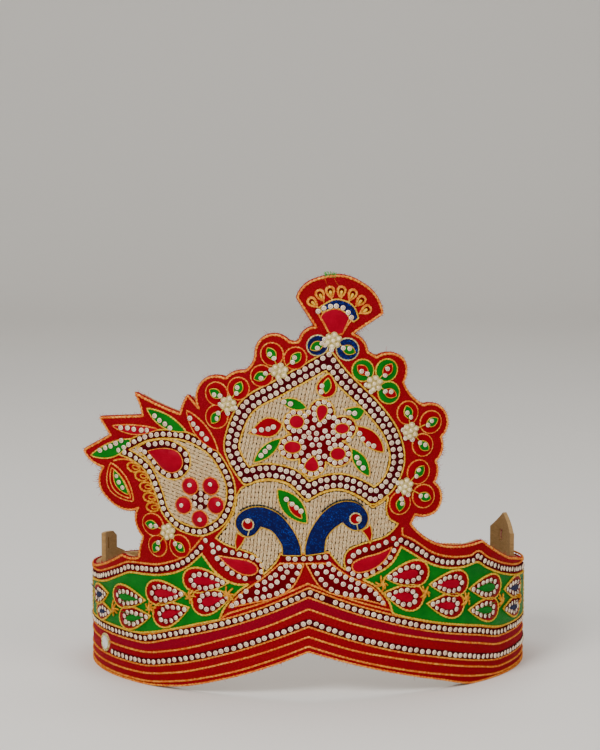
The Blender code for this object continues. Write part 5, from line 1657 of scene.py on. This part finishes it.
def fringe():  # velvet fibres standing out along the cut edge
    edge = np.array(outline)
    side = -leftNormals(edge, True) if areaOf(outline) > 0 else leftNormals(edge, True)
    runs = []
    for (u, z), (nu, nz) in zip(edge, side):
        if z < fibres["rearZ"] and abs(u) > fibres["rearU"]:
            continue
        worn = max([extra * max(0.0, 1 - math.dist((u, z), (a, b)) / span) for a, b, span, extra in frays])
        for k in range(fibres["least"] + round(worn * fibres["worn"])):
            scale = fibres["scale"] + fibres["wornScale"] * worn
            reach = float(dice.gamma(fibres["shape"], scale)) + fibres["reach"]
            lean = float(dice.uniform(-fibres["lean"], fibres["lean"]))
            low = float(dice.uniform(*fibres["low"]))
            x, y = u - nu * fibres["root"], z - nz * fibres["root"]
            rise = float(dice.uniform(*fibres["rise"]))
            far = (x + nu * reach + nz * lean, y + nz * reach - nu * lean, low + rise)
            middle = (x + nu * reach * 0.6, y + nz * reach * 0.6, low)
            runs.append((np.array([(x, y, low), middle, far]), False, (1.0, 0.3)))
    piece = startPiece("velvetFringe")
    addCords(piece, "redThread", runs, fibres["radius"], 0.7, 0.0, 4)
    endPiece(piece, False)


drawTabs()
buildStones()
buildCords()
velvetSheet = buildSheets()
fringe()
print("sheets built")


# Floor, lights and camera
stage = {"floor": 3.0, "wallY": 1.4, "wallRise": 1.8, "curve": 0.45, "curveSteps": 12,
         "pale": (0.80, 0.77, 0.72), "shade": 0.96}
room = {"colour": (1.0, 0.98, 0.95, 1), "strength": 0.28, "aim": (0, -0.03, 0.08)}
view = {"x": -0.02624, "y": -1.2639, "z": 0.312, "down": 7.85, "turn": -1.0, "lens": 131.9}
lamps = [  # name, place, size, power
    ("keySoftbox", (-0.75, -1.25, 1.15), 0.7, 24.0), ("fillSoftbox", (1.0, -1.1, 0.75), 1.0, 8.0),
    ("topSoftbox", (0.0, 0.15, 1.5), 1.2, 12.0)]


def buildStage():
    part = bmesh.new()
    half = stage["floor"]
    rows = [(-half, 0.0)]
    for k in range(stage["curveSteps"] + 1):
        a = math.pi / 2 * k / stage["curveSteps"]
        rows.append((stage["wallY"] + stage["curve"] * math.sin(a), stage["curve"] * (1 - math.cos(a))))
    rows.append((stage["wallY"] + stage["curve"], stage["wallRise"]))
    verts = [part.verts.new((-half, y, z)) for y, z in rows]
    edgesMade = [part.edges.new(pair) for pair in zip(verts, verts[1:])]
    swept = bmesh.ops.extrude_edge_only(part, edges=edgesMade)["geom"]
    moved = [g for g in swept if isinstance(g, bmesh.types.BMVert)]
    bmesh.ops.translate(part, verts=moved, vec=(2 * half, 0, 0))
    bmesh.ops.recalc_face_normals(part, faces=part.faces)
    mesh = bpy.data.meshes.new("floorSweep")
    part.to_mesh(mesh)
    part.free()
    mesh.shade_smooth()
    floor = bpy.data.objects.new("floorSweep", mesh)
    bpy.context.scene.collection.objects.link(floor)
    material, tree, shader = startFinish("paleFloor", {"Roughness": 0.75, "Specular IOR Level": 0.25})
    cloud = noise(tree, spotOf(tree, "Object"), 5.0)
    shaded = [part * stage["shade"] for part in stage["pale"]]
    feed(tree, shader, {"Base Color": mixColours(tree, cloud, shaded, stage["pale"])})
    mesh.materials.append(material)


def buildLamps():
    for name, place, size, power in lamps:
        lamp = bpy.data.lights.new(name, "AREA")
        lamp.shape = "DISK"
        lamp.size = size
        lamp.energy = power
        holder = bpy.data.objects.new(name, lamp)
        holder.location = place
        aim = Vector(room["aim"]) - Vector(place)
        holder.rotation_euler = aim.to_track_quat("-Z", "Y").to_euler()
        bpy.context.scene.collection.objects.link(holder)
    world = bpy.data.worlds.new("softRoom")
    world.use_nodes = True
    backdrop = world.node_tree.nodes["Background"].inputs
    backdrop["Color"].default_value = room["colour"]
    backdrop["Strength"].default_value = room["strength"]
    bpy.context.scene.world = world


def buildCamera():
    lens = bpy.data.cameras.new("photoCamera")
    lens.lens = view["lens"]
    lens.sensor_width = 36.0
    camera = bpy.data.objects.new("photoCamera", lens)
    camera.location = (view["x"], view["y"], view["z"])
    camera.rotation_euler = (math.radians(90 - view["down"]), 0, math.radians(view["turn"]))
    bpy.context.scene.collection.objects.link(camera)
    bpy.context.scene.camera = camera


buildStage()
buildLamps()
buildCamera()
print("stage ready")
